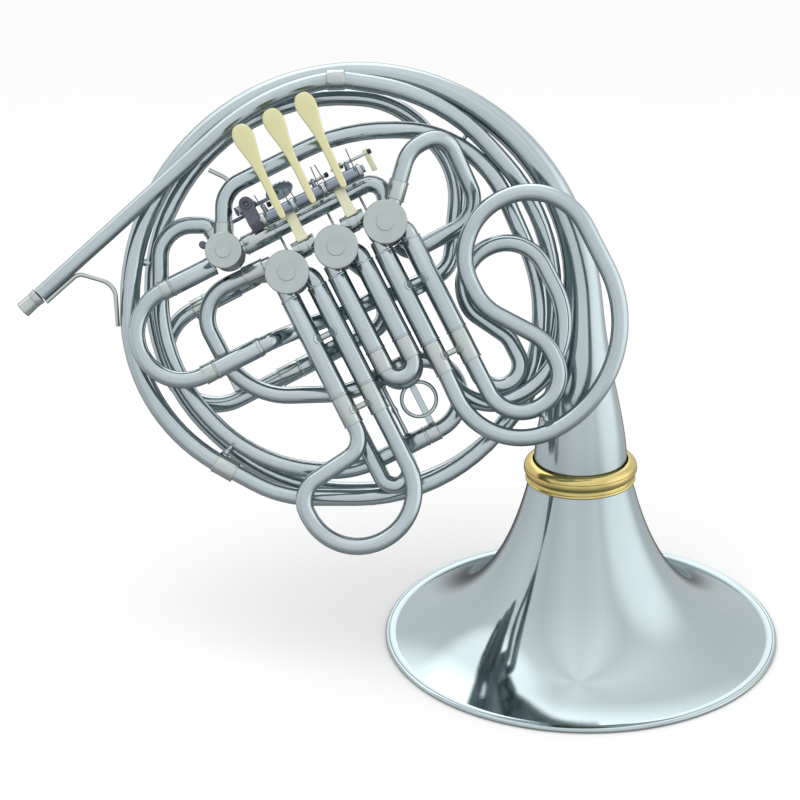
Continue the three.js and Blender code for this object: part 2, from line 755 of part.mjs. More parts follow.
// ---------------------------------------------------------------- finger hook

add(valves, 'finger_hook', strip([
  [-4, 85, 14],
  [-8, 92, 15, 7],
  [-19, 99, 18],
], 9, 1.5), brightSilver);

export default horn;
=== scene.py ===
"""Looks of the double French horn: fine meshes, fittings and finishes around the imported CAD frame.

Lengths are written in millimetres in two turned frames and become metres when a piece is made:
  coil   x right, y up the coil, z out of the coil towards the player's fingers
  block  x along the row of valves, y away from the valve slides, z as in coil; origin on valve 1
"""

import json
import math

import bmesh
import bpy
import numpy as np
from mathutils import Matrix


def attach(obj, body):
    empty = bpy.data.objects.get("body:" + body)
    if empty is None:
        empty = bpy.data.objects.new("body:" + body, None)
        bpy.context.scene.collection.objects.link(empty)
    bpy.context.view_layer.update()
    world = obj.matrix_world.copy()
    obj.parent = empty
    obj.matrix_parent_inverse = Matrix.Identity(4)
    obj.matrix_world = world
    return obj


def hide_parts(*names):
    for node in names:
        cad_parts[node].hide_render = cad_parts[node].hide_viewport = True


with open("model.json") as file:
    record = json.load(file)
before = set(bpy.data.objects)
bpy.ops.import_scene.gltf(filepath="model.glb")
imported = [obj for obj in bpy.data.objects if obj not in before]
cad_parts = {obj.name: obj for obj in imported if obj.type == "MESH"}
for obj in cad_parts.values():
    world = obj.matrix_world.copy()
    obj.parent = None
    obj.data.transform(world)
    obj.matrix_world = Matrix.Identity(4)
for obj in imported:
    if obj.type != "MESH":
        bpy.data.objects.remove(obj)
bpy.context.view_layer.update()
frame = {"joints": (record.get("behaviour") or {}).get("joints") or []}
joints = {joint["name"]: joint for joint in frame["joints"]}

# -------------------- frames

VALVE_ONE = (-82.2, 93.0, 0.0)
ROW_ANGLE = math.radians(27)


def axis_of(joint, sign=1):
    return sign * np.array(joints[joint]["axis"], float)


def block_frame():
    matrix = np.eye(4)
    matrix[:3, 0] = axis_of("main_slide_pull", -1) * 0.001
    matrix[:3, 1] = axis_of("valve_1_front_slide_pull", -1) * 0.001
    matrix[:3, 2] = axis_of("rotor_1_turn") * 0.001
    matrix[:3, 3] = joints["rotor_1_turn"]["pos_m"]
    return matrix


def row_in_coil():
    matrix = np.eye(4)
    c, s = math.cos(ROW_ANGLE), math.sin(ROW_ANGLE)
    matrix[:2, :2] = [[c, -s], [s, c]]
    matrix[:3, 3] = VALVE_ONE
    return matrix


def bell_frame():
    matrix = np.diag([0.001, 0.001, 0.001, 1.0])
    matrix[:3, 3] = joints["bell_unscrew"]["pos_m"]
    return matrix


BLOCK = block_frame()
COIL = BLOCK @ np.linalg.inv(row_in_coil())
BELL = bell_frame()


def between(point, start, end):
    """A point of one frame as another frame has it."""
    return (np.linalg.inv(end) @ start @ np.array([*point, 1.0]))[:3]


# -------------------- meshes
# A shell is a pair (vertices, faces). Pieces are lists of shells.

SAME_POINT = 0.05               # points of a route closer than this are one


def unit(v):
    return v / np.linalg.norm(v)


def round_angles(sides):
    return np.linspace(0, 2 * math.pi, sides, endpoint=False)


def route(corners, fine=5.0, stride=None):
    """Points and directions along straight runs joined by arcs; corners are (x, y, z, bend radius)."""
    p = [np.array(c[:3], float) for c in corners]
    points, ways = [p[0]], [unit(p[1] - p[0])]
    for i in range(1, len(p) - 1):
        a, b = unit(p[i] - p[i - 1]), unit(p[i + 1] - p[i])
        turn = math.acos(np.clip(a @ b, -1, 1))
        bend = corners[i][3]
        start = p[i] - a * bend * math.tan(turn / 2)
        side = unit(b - a * (a @ b))
        steps = max(2, math.ceil(math.degrees(turn) / fine))
        for angle in np.linspace(0, turn, steps + 1):
            points.append(start + a * bend * math.sin(angle) + side * bend * (1 - math.cos(angle)))
            ways.append(a * math.cos(angle) + side * math.sin(angle))
    points.append(p[-1])
    ways.append(unit(p[-1] - p[-2]))
    kept_points, kept_ways = [points[0]], [ways[0]]
    for point, way in zip(points[1:], ways[1:]):
        gap = np.linalg.norm(point - kept_points[-1])
        if gap < SAME_POINT:
            continue
        pieces = math.ceil(gap / stride) if stride else 1
        for k in range(1, pieces):
            kept_points.append(kept_points[-1] + (point - kept_points[-1]) / (pieces - k + 1))
            kept_ways.append(unit(way + kept_ways[-1]))
        kept_points.append(point)
        kept_ways.append(way)
    return np.array(kept_points), np.array(kept_ways)


def carried(ways, first=(0, 0, 1)):
    """Cross directions carried along a route without twist."""
    normal = np.array(first, float)
    if abs(ways[0] @ normal) > 0.9:
        normal = np.array([0.0, 1.0, 0.0])
    normals = []
    for way in ways:
        normal = unit(normal - way * (way @ normal))
        normals.append(normal)
    normals = np.array(normals)
    return normals, np.cross(ways, normals)


def skin(rings, closed=False):
    """A shell over rings of equal length; its ends are filled unless the last ring joins the first."""
    count, sides = rings.shape[:2]
    vertices = rings.reshape(-1, 3)
    faces = []
    for i in range(count if closed else count - 1):
        a, b = i * sides, ((i + 1) % count) * sides
        for k in range(sides):
            n = (k + 1) % sides
            faces.append((a + k, a + n, b + n, b + k))
    if not closed:
        faces.append(tuple(range(sides - 1, -1, -1)))
        faces.append(tuple((count - 1) * sides + k for k in range(sides)))
    return vertices, faces


def rings_along(points, ways, radii, sides):
    normals, across = carried(ways)
    turn = round_angles(sides)[None, :, None]
    circle = np.cos(turn) * normals[:, None] + np.sin(turn) * across[:, None]
    return points[:, None] + circle * np.asarray(radii, float)[:, None, None]


def travelled(points):
    return np.concatenate([[0], np.cumsum(np.linalg.norm(np.diff(points, axis=0), axis=1))])


def tube(corners, radius, bore=None, sides=28, fine=5.0):
    points, ways = route(corners, fine)
    outside = rings_along(points, ways, np.full(len(points), radius), sides)
    if bore is None:
        return skin(outside)
    inside = rings_along(points, ways, np.full(len(points), bore), sides)
    return skin(np.concatenate([outside, inside[::-1]]), closed=True)


def cone(corners, radius_at, wall, sides=40, fine=4.0, stride=9.0):
    points, ways = route(corners, fine, stride)
    radii = np.array([radius_at(s) for s in travelled(points)])
    outside = rings_along(points, ways, radii, sides)
    inside = rings_along(points, ways, radii - wall, sides)
    return skin(np.concatenate([outside, inside[::-1]]), closed=True)


def turned(profile, origin=(0, 0, 0), axis=(0, 0, 1), sides=40):
    """A lathe shell: profile of (radius, distance along the axis); radius 0 only at its first and last."""
    axis = unit(np.array(axis, float))
    u = unit(np.cross(axis, [0.31, 0.95, 0.07]))
    v = np.cross(axis, u)
    turn = round_angles(sides)
    circle = np.cos(turn)[:, None] * u + np.sin(turn)[:, None] * v
    solid = profile[0][0] == 0
    body = profile[1:-1] if solid else profile
    rings = np.array([np.array(origin) + axis * h + circle * r for r, h in body])
    vertices, faces = skin(rings, closed=not solid)
    if solid:
        faces = faces[:-2]
        count, last = len(vertices), len(vertices) - sides
        poles = [np.array(origin) + axis * profile[0][1], np.array(origin) + axis * profile[-1][1]]
        vertices = np.concatenate([vertices, poles])
        for k in range(sides):
            n = (k + 1) % sides
            faces.append((count, n, k))
            faces.append((count + 1, last + k, last + n))
    return vertices, faces


def rounded(radius, low, high, edge=0.4, bore=0.0):
    """Profile of a disc or ring with softened edges."""
    turns = [0, math.pi / 6, math.pi / 3, math.pi / 2]
    low_edge = [(radius - edge * (1 - math.sin(t)), low + edge * (1 - math.cos(t))) for t in turns]
    high_edge = [(r, high - (h - low)) for r, h in reversed(low_edge)]
    flat = max(bore + 0.02, radius - 2.4 * edge)
    return [(bore, low), (flat, low)] + low_edge + high_edge + [(flat, high), (bore, high)]


def disc(origin, axis, radius, low, high, edge=0.4, bore=0.0, sides=40):
    return turned(rounded(radius, low, high, edge, bore), origin, axis, sides)


def ball(centre, radius, sides=20):
    between_poles = np.linspace(0, math.pi, 12)[1:-1]
    profile = [(radius * math.sin(t), -radius * math.cos(t)) for t in between_poles]
    return turned([(0, -radius), *profile, (0, radius)], centre, sides=sides)


def rod(start, end, radius, sides=16, edge=0.3):
    start, end = np.array(start, float), np.array(end, float)
    length = np.linalg.norm(end - start)
    return turned(rounded(radius, 0, length, min(edge, radius * 0.5)), start, end - start, sides)


def bar(low, high, edge=0.35):
    """A rectangular bar with softened edges."""
    low, high = np.array(low, float), np.array(high, float)
    size, middle = high - low, (low + high) / 2
    along = int(np.argmax(size))
    a, b = [i for i in range(3) if i != along]
    edge = min(edge, size.min() * 0.3)
    corners = ((1, 1), (-1, 1), (-1, -1), (1, -1))
    start, end = low[along], high[along]
    rings = []
    for at, inset in ((start, edge), (start + edge, 0), (end - edge, 0), (end, edge)):
        ring = []
        for quarter, (side_a, side_b) in enumerate(corners):
            for step in range(4):
                angle = quarter * math.pi / 2 + step * math.pi / 6
                point = np.zeros(3)
                point[along] = at
                point[a] = middle[a] + side_a * (size[a] / 2 - edge) + (edge - inset * 0.7) * math.cos(angle)
                point[b] = middle[b] + side_b * (size[b] / 2 - edge) + (edge - inset * 0.7) * math.sin(angle)
                ring.append(point)
        rings.append(ring)
    return skin(np.array(rings))


def oblong(size_a, size_b, power=4.0, sides=32):
    """Superellipse section: rounder at power 2, squarer above."""
    turn = round_angles(sides)
    c, s = np.cos(turn), np.sin(turn)
    return np.stack([
        np.sign(c) * np.abs(c) ** (2 / power) * size_a / 2,
        np.sign(s) * np.abs(s) ** (2 / power) * size_b / 2,
    ], axis=-1)


def strip(corners, width, thickness, power=6.0, first=(0, 0, 1), taper=None):
    """A flat bar along a route: its width along the carried normal, its thickness across."""
    points, ways = route(corners, 6.0, 4.0)
    normals, across = carried(ways, first)
    section = oblong(width, thickness, power)
    share = travelled(points) / travelled(points)[-1]
    scale = np.ones(len(points)) if taper is None else np.array([taper(s) for s in share])
    a = section[None, :, 0, None] * normals[:, None] * scale[:, None, None]
    b = section[None, :, 1, None] * across[:, None]
    return skin(points[:, None] + a + b)


def ring_torus(centre, axis, radius, thick, sides=72, around=16):
    profile = [(radius + thick * math.cos(t), thick * math.sin(t)) for t in round_angles(around)]
    return turned(profile, centre, axis, sides)


# -------------------- finishes


def node(tree, kind, **values):
    made = tree.nodes.new(kind)
    for key, value in values.items():
        if key in made.inputs:
            made.inputs[key].default_value = value
        else:
            setattr(made, key, value)
    return made


def map_range(tree, value, source, target, **settings):
    """A value moved from one span to another and held at both ends."""
    made = node(tree, "ShaderNodeMapRange", **settings)
    for socket, at in zip(("From Min", "From Max", "To Min", "To Max"), (*source, *target)):
        made.inputs[socket].default_value = at
    tree.links.new(value, made.inputs["Value"])
    return made.outputs["Result"]


def noise(tree, place, **values):
    made = node(tree, "ShaderNodeTexNoise", **values)
    tree.links.new(place, made.inputs["Vector"])
    return made.outputs["Fac"]


def bumped(tree, height, strength, distance):
    made = node(tree, "ShaderNodeBump", Strength=strength, Distance=distance)
    tree.links.new(height, made.inputs["Height"])
    return made.outputs["Normal"]


def two_tone(tree, factor, dark, light, low=0.0, high=1.0):
    """A colour that goes from dark to light as the factor goes from low to high."""
    made = node(tree, "ShaderNodeValToRGB")
    for element, at, tone in zip(made.color_ramp.elements, (low, high), (dark, light)):
        element.position = at
        element.color = (*tone, 1)
    tree.links.new(factor, made.inputs["Fac"])
    return made.outputs["Color"]


def blank_material(name):
    """A material with its node tree, its shader and the place of each point on the object."""
    material = bpy.data.materials.new(name)
    material.use_nodes = True
    tree = material.node_tree
    return material, tree, tree.nodes["Principled BSDF"], node(tree, "ShaderNodeTexCoord").outputs["Object"]


def metal(name, dark, light, rough, patch=14.0, scratch=0.035, metallic=1.0):
    """Plated metal: its colour and gloss drift in patches, with handling haze and hairline scratches."""
    material, tree, shader, place = blank_material(name)
    link = tree.links.new
    shader.inputs["Metallic"].default_value = metallic
    drift = noise(tree, place, Scale=patch, Detail=5.0, Roughness=0.62)
    link(two_tone(tree, drift, dark, light, 0.32, 0.68), shader.inputs["Base Color"])
    haze = noise(tree, place, Scale=patch * 6, Detail=6.0, Roughness=0.7)
    link(map_range(tree, haze, (0.3, 0.75), (rough * 0.75, rough * 1.6)), shader.inputs["Roughness"])
    stretch = node(tree, "ShaderNodeMapping")
    stretch.inputs["Scale"].default_value = (1.0, 5.0, 0.6)
    stretch.inputs["Rotation"].default_value = (0.4, 0.7, 0.3)
    link(place, stretch.inputs["Vector"])
    hairline = noise(tree, stretch.outputs["Vector"], Scale=900.0, Detail=3.0, Roughness=0.5)
    link(bumped(tree, hairline, scratch, 0.0004), shader.inputs["Normal"])
    return material


SILVER = metal("silver_plate", (0.63, 0.75, 0.79), (0.71, 0.82, 0.85), 0.13)
BELL_SILVER = metal("bell_plate", (0.62, 0.75, 0.78), (0.67, 0.79, 0.82), 0.05, patch=5.0, scratch=0.012)
PALE_SILVER = metal("ferrule_silver", (0.68, 0.77, 0.77), (0.76, 0.84, 0.82), 0.17)
CAP_SILVER = metal("cap_silver", (0.64, 0.73, 0.73), (0.70, 0.78, 0.77), 0.4, scratch=0.05)
GOLD = metal("gold_brass", (0.90, 0.70, 0.22), (0.98, 0.84, 0.38), 0.17)
LACQUER = metal("lever_lacquer", (0.92, 0.90, 0.50), (0.98, 0.96, 0.62), 0.2, scratch=0.006, metallic=0.88)
CREAM = metal("saddle_lacquer", (0.80, 0.80, 0.55), (0.88, 0.88, 0.66), 0.3, metallic=0.6)
STEEL = metal("linkage_steel", (0.31, 0.37, 0.47), (0.43, 0.50, 0.60), 0.17)
DARK_STEEL = metal("dark_steel", (0.14, 0.15, 0.19), (0.26, 0.27, 0.33), 0.26)


def rubber_finish():
    material, tree, shader, place = blank_material("bumper_rubber")
    grain = noise(tree, place, Scale=700.0, Detail=4.0)
    colour = two_tone(tree, grain, (0.008, 0.008, 0.009), (0.03, 0.03, 0.033))
    tree.links.new(colour, shader.inputs["Base Color"])
    tree.links.new(bumped(tree, grain, 0.3, 0.0002), shader.inputs["Normal"])
    shader.inputs["Roughness"].default_value = 0.6
    return material


RUBBER = rubber_finish()

# -------------------- pieces

SHARP_EDGE = math.radians(34)


def outward(mesh):
    """Turns every face of a mesh to look outwards."""
    work = bmesh.new()
    work.from_mesh(mesh)
    bmesh.ops.recalc_face_normals(work, faces=work.faces)
    work.to_mesh(mesh)
    work.free()


def piece(name, shells, placed_in, body, finish, stands_for=()):
    """Makes one mesh of the shells and fixes it to a body of the frame."""
    vertices = np.concatenate([np.asarray(v, float) for v, _ in shells])
    world = vertices @ placed_in[:3, :3].T + placed_in[:3, 3]
    faces, base = [], 0
    for v, shell_faces in shells:
        faces += [tuple(base + k for k in face) for face in shell_faces]
        base += len(v)
    mesh = bpy.data.meshes.new(name)
    mesh.from_pydata(world.tolist(), [], faces)
    mesh.validate()
    outward(mesh)
    mesh.polygons.foreach_set("use_smooth", [True] * len(mesh.polygons))
    mesh.set_sharp_from_angle(angle=SHARP_EDGE)
    mesh.materials.append(finish)
    made = bpy.data.objects.new(name, mesh)
    bpy.context.scene.collection.objects.link(made)
    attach(made, body)
    if stands_for:
        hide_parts(*stands_for)


def silver(name, shells, *stands_for, body="horn_body", placed_in=BLOCK):
    """A plated piece; the names are those of the CAD nodes it replaces."""
    piece(name, shells, placed_in, body, SILVER, stands_for)


def pale(name, shells, *stands_for, body="horn_body", placed_in=BLOCK):
    """A piece in the paler silver of ferrules and fittings."""
    piece(name, shells, placed_in, body, PALE_SILVER, stands_for)


# -------------------- dimensions

# Outer radii of the fixed tubes, the inner slide legs and the outer slide tubes, with their bores.
TUBE = 6.4
LEG, LEG_BORE = 6.35, 5.65
SLEEVE, SLEEVE_BORE = 7.3, 6.7
SNUG = 0.05                     # how far a ring reaches into the tube that it is round
ENGAGED = 32                    # length of a valve slide's leg inside its outer tube

RIM_RADIUS, RIM_WIRE, SHEET = 155.0, 1.9, 0.8
JOINT_HEIGHT = 145.5            # where the bell comes off
RING_BOTTOM, RING_TOP, RING_RADIUS = 133.2, 150.2, 43.6
RING_CROWN = 6.7                # radius of the rounded section that both rings share
BRANCH_RADIUS = 36.0            # of the bell branch where the bell joins it

# Block frame: valves, then the levels, legs and mouths of the slides.
VALVE_PITCH = 40.1
VALVE_X = tuple(k * VALVE_PITCH for k in range(3))
CASING_RADIUS = 15.5
CHANGE_VALVE, CHANGE_RADIUS = (-34.0, 35.0), 12.9
CASING_BACK, CASING_FRONT = -12.0, 36.0
FRONT_LEVEL, BACK_LEVEL = 28.0, 11.5
FIRST_LEG, LEG_PITCH, LEG_SPAN = -7.0, 38.5, 21.7
MOUTHS = (-98.0, -80.0, -93.0)
SLEEVE_TOP = -17.5

MAIN_LEVEL, MAIN_TOP, MAIN_BOTTOM, MAIN_BOW = 17.0, 31.0, -38.3, -89.0
MAIN_MOUTHS = (-82, -80)
SIDE_LEVEL, SIDE_TOP, SIDE_BOTTOM, SIDE_BOW = -30.0, 13.0, -63.5, -78.5
SIDE_MOUTHS = (-68, -26)
LOWER_LEVEL, LOWER_TOP, LOWER_BOTTOM, LOWER_BOW = -3.0, -98.0, -153.0, 48.0
LOWER_MOUTHS = (37, 37)

# Hinges, and the linkage from lever tail to stop arm.
HINGE_Y, HINGE_Z = 41.5, 40.0
THUMB_Y, THUMB_Z = 58.0, 18.0
TAIL_Y, ARM_LEVEL, LINK_LEVEL, ARM_RADIUS = 51.0, -16.5, -21.0, 9.0
BALL_OFFSET = ARM_RADIUS * math.sqrt(0.5)
POSTS = (2.5, 26.5, 51.5, 80.5)
LEVER_WIRE = 1.5                # radius of the bent rods of the levers
LINK_GAP, TAIL_GAP = 2.4, 2.75  # from a ball to its socket; a lever's own ball closes in as it is pressed


# -------------------- fittings


def band(at, toward, start, length, radius=7.2, bore=TUBE - SNUG, edge=0.3):
    """A plain sleeve round a straight tube: from a distance past a point, towards another."""
    at, toward = np.array(at, float), np.array(toward, float)
    return disc(at, toward - at, radius, start, start + length, edge, bore, 36)


def bead(at, toward, start, radius=7.55, thick=0.55, bore=TUBE - SNUG):
    """A thin raised line round a tube."""
    at, toward = np.array(at, float), np.array(toward, float)
    return disc(at, toward - at, radius, start - thick, start + thick, thick * 0.7, bore, 36)


def ferrule(at, toward, start, length, radius=7.3, bore=TUBE - SNUG):
    """A soldered sleeve with a thin raised line at each end."""
    return [
        band(at, toward, start, length, radius, bore),
        bead(at, toward, start, radius + 0.3, 0.4, bore),
        bead(at, toward, start + length, radius + 0.3, 0.4, bore),
    ]


def brace(a, b, radius):
    """A turned stay between two tube walls, with a round foot at each end and a swelling in the middle."""
    a, b = np.array(a, float), np.array(b, float)
    length = np.linalg.norm(b - a)
    half = [
        (0, 0.0), (radius * 1.9, 0.0), (radius * 1.7, 0.7), (radius, 1.5),
        (radius * 0.9, length * 0.3), (radius * 0.95, length * 0.42),
    ]
    other_half = [(r, length - h) for r, h in reversed(half)]
    return turned([*half, (radius * 1.35, length * 0.5), *other_half], a, b - a, 24)


def foot(leg, side, y, level, radius):
    """The round foot of a stay, lying on the wall of a slide leg."""
    return disc((leg + side * 4.4, y, level + 4.6), (side * 4.4, 0, 4.6), radius, 0.0, 1.2, 0.5, sides=28)


def plain_stay(left, right, y, level, radius, foot_radius):
    """A straight bar between two slide legs, with its two feet."""
    bar = rod((left + 5.5, y, level + 1), (right - 5.5, y, level + 1), radius, 24)
    return [bar, foot(left, 1, y, level, foot_radius), foot(right, -1, y, level, foot_radius)]


# -------------------- bell


def arc_profile(centre, radii, start, end, steps):
    turns = np.linspace(start, end, steps)
    return [(centre[0] + radii[0] * math.cos(t), centre[1] + radii[1] * math.sin(t)) for t in turns]


def flare_radius(height):
    return RIM_RADIUS * (1 + height / 37.5) ** -0.835 - height / 34


def bell_flare():
    low, high = 2.4, JOINT_HEIGHT - 0.3
    heights = low + (high - low) * np.linspace(0, 1, 72) ** 1.7
    outside = [(flare_radius(h), h) for h in heights]
    inside = [(flare_radius(h) - SHEET, h) for h in heights[::-1]]
    rim = arc_profile((RIM_RADIUS - RIM_WIRE, RIM_WIRE), (RIM_WIRE, RIM_WIRE), -3.4, 2.5, 26)
    return turned(rim + outside + inside, sides=224)


piece("bell_flare_shell", [bell_flare()], BELL, "bell", BELL_SILVER, ["bell_flare"])

CROWN_AT = (RING_RADIUS - RING_CROWN, RING_TOP - RING_CROWN)


def crown_arc(start, end, steps):
    return arc_profile(CROWN_AT, (RING_CROWN, RING_CROWN), start, end, steps)


def lower_ring():
    low, high = RING_BOTTOM, JOINT_HEIGHT - 0.25
    lip = arc_profile((RING_RADIUS - 2.6, low + 1.4), (1.5, 1.4), -math.pi / 2, math.pi * 0.42, 10)
    crown = crown_arc(-0.9, math.asin((high - CROWN_AT[1]) / RING_CROWN), 16)
    profile = [(flare_radius(low) + 0.25, low), *lip, *crown, (flare_radius(high) + 0.25, high)]
    return turned(profile, sides=160)


def upper_ring():
    low = JOINT_HEIGHT + 0.1
    crown = crown_arc(math.asin((low - CROWN_AT[1]) / RING_CROWN), math.pi / 2, 14)
    return turned([(BRANCH_RADIUS + 0.4, low)] + crown, sides=160)


piece("bell_ring_lower_turned", [lower_ring()], BELL, "bell", GOLD, ["bell_ring_lower"])
piece("bell_ring_upper_turned", [upper_ring()], BELL, "horn_body", GOLD, ["bell_ring_upper"])


def branch_radius(s):
    return BRANCH_RADIUS - 29.3 + 9.3 * math.exp(-s / 260) + 20 * math.exp(-((s / 92) ** 2))


branch = cone([
    between((0, 0, JOINT_HEIGHT + 0.3), BELL, COIL),
    (*between((0, 0, 215), BELL, COIL), 90),
    (140, 244, 0, 170),
    (-202, 244, 0, 170),
    (-202, -9, 0, 130),
    (-131, -50, -2),
], branch_radius, SHEET, 64)
silver("bell_branch_tube", [branch], "bell_branch", placed_in=COIL)

# -------------------- fixed tubes on the coil

# Corners of a route are (x, y, z, bend radius); its two ends have no bend.
RING_ROUTE = [
    (-130.6, -50.2, -2),
    (-88, -73, -3, 90),
    (105, -73, -3, 138),
    (105.5, 91, -3, 120),
    (57, 201, 2, 85),
    (-41, 201, 10, 150),
    (-130.5, 155.4, 14, 22),
    (-130.5, 112, 14),
]
silver("ring_tube_drawn", [tube(RING_ROUTE, TUBE)], "ring_tube", placed_in=COIL)

LEADPIPE_ROUTE = [(-266, 78, 15), (-99, 229, 15.5, 160), (-47, 237, 16.5)]
leadpipe = cone(LEADPIPE_ROUTE, lambda s: min(TUBE, 5.6 + s / 300), SHEET, 32)
silver("leadpipe_drawn", [leadpipe], "leadpipe", placed_in=COIL)

receiver = turned([
    (4.4, 0.0), (5.3, -0.1), (5.9, 0.15), (6.15, 0.7), (6.15, 1.4), (6.0, 4.0), (5.8, 9.0), (5.7, 10.6),
    (5.95, 10.8), (5.95, 11.3), (5.7, 11.5), (5.9, 12.0), (6.3, 15.6), (6.2, 16.2),
    (4.3, 16.2), (4.2, 9.0), (4.35, 1.0),
], (-279, 66.3, 15), (12.7, 11.4, 0.0), 48)
pale("mouthpiece_receiver_turned", [receiver], "mouthpiece_receiver", placed_in=COIL)


def mouthpipe_tail():
    """The end of the mouthpipe ring tube, which rises to the main slide on the block."""
    local = [
        (-13, MAIN_BOTTOM, -10, 12),
        (-33, MAIN_BOTTOM, MAIN_LEVEL, 12),
        (-41.7, MAIN_BOTTOM, MAIN_LEVEL, 0),
    ]
    return [(*between((x, y, z), BLOCK, COIL), bend) for x, y, z, bend in local]


MOUTHPIPE_ROUTE = [
    (-45, 237, 16.5),
    (31, 227, 11, 145),
    (118, 134, -5, 145),
    (113, 13, -18, 138),
    (28, -68, -18, 138),
    (-90, -69, -18, 138),
    (-181, 11, -18, 145),
    (-193, 140, -14, 145),
    (-97, 233, -15, 140),
    (0, 227, -17, 70),
    (45, 173, -19, 60),
    (38, 98, -18, 22),
    *mouthpipe_tail(),
]
silver("mouthpipe_ring_drawn", [tube(MOUTHPIPE_ROUTE, TUBE)], "mouthpipe_ring_tube", placed_in=COIL)

strap = strip([
    (-261.5, 72.4, 15),
    (-238, 93.6, 14, 8),
    (-212, 86, 8, 14),
    (-210.6, 55, 2),
], 4.4, 3.2, 2.6, taper=lambda s: 1 - 0.55 * s ** 6)
pale("leadpipe_strap_bent", [strap], "leadpipe_strap", placed_in=COIL)

CHANGE_RING_ROUTE = [
    (-129, 110, -3),
    (-143, 131, -3, 10),
    (-180, 131, -3, 24),
    (-179, 24, -3, 130),
    (-105, -53, -3, 120),
    (-33, -53, -3, 80),
    (-0.3, -36.8, LOWER_LEVEL),
]
silver("change_ring_drawn", [tube(CHANGE_RING_ROUTE, TUBE)], "change_valve_ring_tube", placed_in=COIL)

# -------------------- valves


def casing(x, y, radius):
    bore = radius - 1.6
    back, front = CASING_BACK, CASING_FRONT
    floor = back + 4
    return turned([
        (3.4, back), (radius - 1.2, back), (radius - 0.5, back + 0.3), (radius - 0.1, back + 1.0),
        (radius, back + 1.6), (radius, back + 6.0), (radius + 0.45, back + 6.3), (radius + 0.45, back + 7.6),
        (radius, back + 7.9), (radius, front - 4.4), (radius + 0.5, front - 4.1), (radius + 0.5, front),
        (bore, front), (bore, floor), (3.4, floor),
    ], (x, y, 0), sides=64)


def cap(x, y, radius, boss):
    seat = CASING_FRONT + 0.3
    top = seat + 3.8
    rim = arc_profile((radius - 1.0, top - 1.0), (1.0, 1.0), 0, math.pi / 2, 7)
    return turned([
        (0, seat), (radius - 0.3, seat), (radius, seat + 0.3), *rim, (radius - 1.7, top),
        (boss + 0.9, top), (boss + 0.3, top), (boss + 0.1, top + 0.08), (boss, top + 0.35),
        (boss - 0.15, top + 0.55), (boss - 0.45, top + 0.65), (boss - 1.1, top + 0.65), (0, top + 0.65),
    ], (x, y, 0), sides=96)


def rotor(x, y, radius, arm_angle):
    """A solid rotor with its shaft, stop arm and the pin for the link rod."""
    angle = math.radians(arm_angle)
    pin = (x + ARM_RADIUS * math.cos(angle), y + ARM_RADIUS * math.sin(angle))
    shaft_end, core_back, core_front = ARM_LEVEL - 3.4, CASING_BACK + 4.3, CASING_FRONT - 2
    core = turned([
        (0, shaft_end), (1.6, shaft_end), (2.3, shaft_end + 0.5), (2.3, ARM_LEVEL - 1.5), (3, ARM_LEVEL - 1.5),
        (3, core_back), (radius - 3, core_back), (radius - 3, core_front), (0, core_front),
    ], (x, y, 0), sides=40)
    arm = strip([(x, y, ARM_LEVEL), (*pin, ARM_LEVEL)], 2.6, 3.6)
    hub = disc((*pin, 0), (0, 0, 1), 1.9, LINK_LEVEL - 1.8, ARM_LEVEL + 1.8, 0.5, sides=24)
    return [core, arm, hub]


def valve(name, cad_name, body, at, arm_angle, ports=(), *, radius, slimmer, overhang, boss):
    """Casing, cap and rotor of one valve; ports are the tubes that leave its casing."""
    silver(f"{name}_casing_turned", [casing(*at, radius - slimmer), *ports], f"{cad_name}_casing")
    top = cap(*at, radius + overhang, boss)
    piece(f"{name}_cap_turned", [top], BLOCK, "horn_body", CAP_SILVER, [f"{cad_name}_cap"])
    pale(f"{name}_rotor_turned", rotor(*at, radius, arm_angle), f"{cad_name}_rotor", body=body)


LINK_SIDE = (1, 1, -1)          # the side of each valve on which its link rod runs
for k, x in enumerate(VALVE_X):
    ports = []
    if k < len(VALVE_X) - 1:
        for z in (FRONT_LEVEL, BACK_LEVEL):
            ports.append(tube([(x + 11, 12, z), (x + VALVE_PITCH - 11, 12, z)], 5.9, sides=32))
            ports.append(band((x + 13, 12, z), (x + VALVE_PITCH, 12, z), 2.6, 6.6, 6.5, 5.8))
    name, arm_angle = f"valve_{k + 1}", 45 if LINK_SIDE[k] > 0 else 135
    size = {"radius": CASING_RADIUS, "slimmer": 1.1, "overhang": 0.7, "boss": 6.6}
    valve(name, name, f"rotor_{k + 1}", (x, 0), arm_angle, ports, **size)
size = {"radius": CHANGE_RADIUS, "slimmer": 0.9, "overhang": 0.5, "boss": 5.6}
valve("change", "change_valve", "change_rotor", CHANGE_VALVE, -45, **size)

# -------------------- fixed tubes on the block

CHANGE_TO_3 = [(CHANGE_VALVE[0] + 12.5, 34, 11), (94, 34, 11, 11), (88, 14.5, 11)]
VALVE_1_LOOP = [
    (-8, 12.6, 13.5),
    (-72, 15, 6, 27),
    (-72, -65, -3, 55),
    (-2, LOWER_TOP, LOWER_LEVEL, 60),
    (13.2, LOWER_TOP, LOWER_LEVEL),
]
VALVE_3_LOOP = [
    (92, 11, 24),
    (120, 41, 24, 25),
    (150, 41, 22, 16),
    (149, -25, -2, 24),
    (86, -25, -5, 10),
    (84, -15, -5),
]
SIDE_UPPER = [
    (-39.7, SIDE_TOP, SIDE_LEVEL),
    (-24, SIDE_TOP, SIDE_LEVEL, 8),
    (-24, SIDE_TOP, -3, 8),
    (-15, 9, -3),
]
SIDE_LOWER = [
    (12.3, SIDE_BOTTOM, SIDE_LEVEL),
    (53, SIDE_BOTTOM, SIDE_LEVEL, 16),
    (53, -24, SIDE_LEVEL + 2, 8),
    (53, -24, -4, 8),
    (46, -10, -4),
]
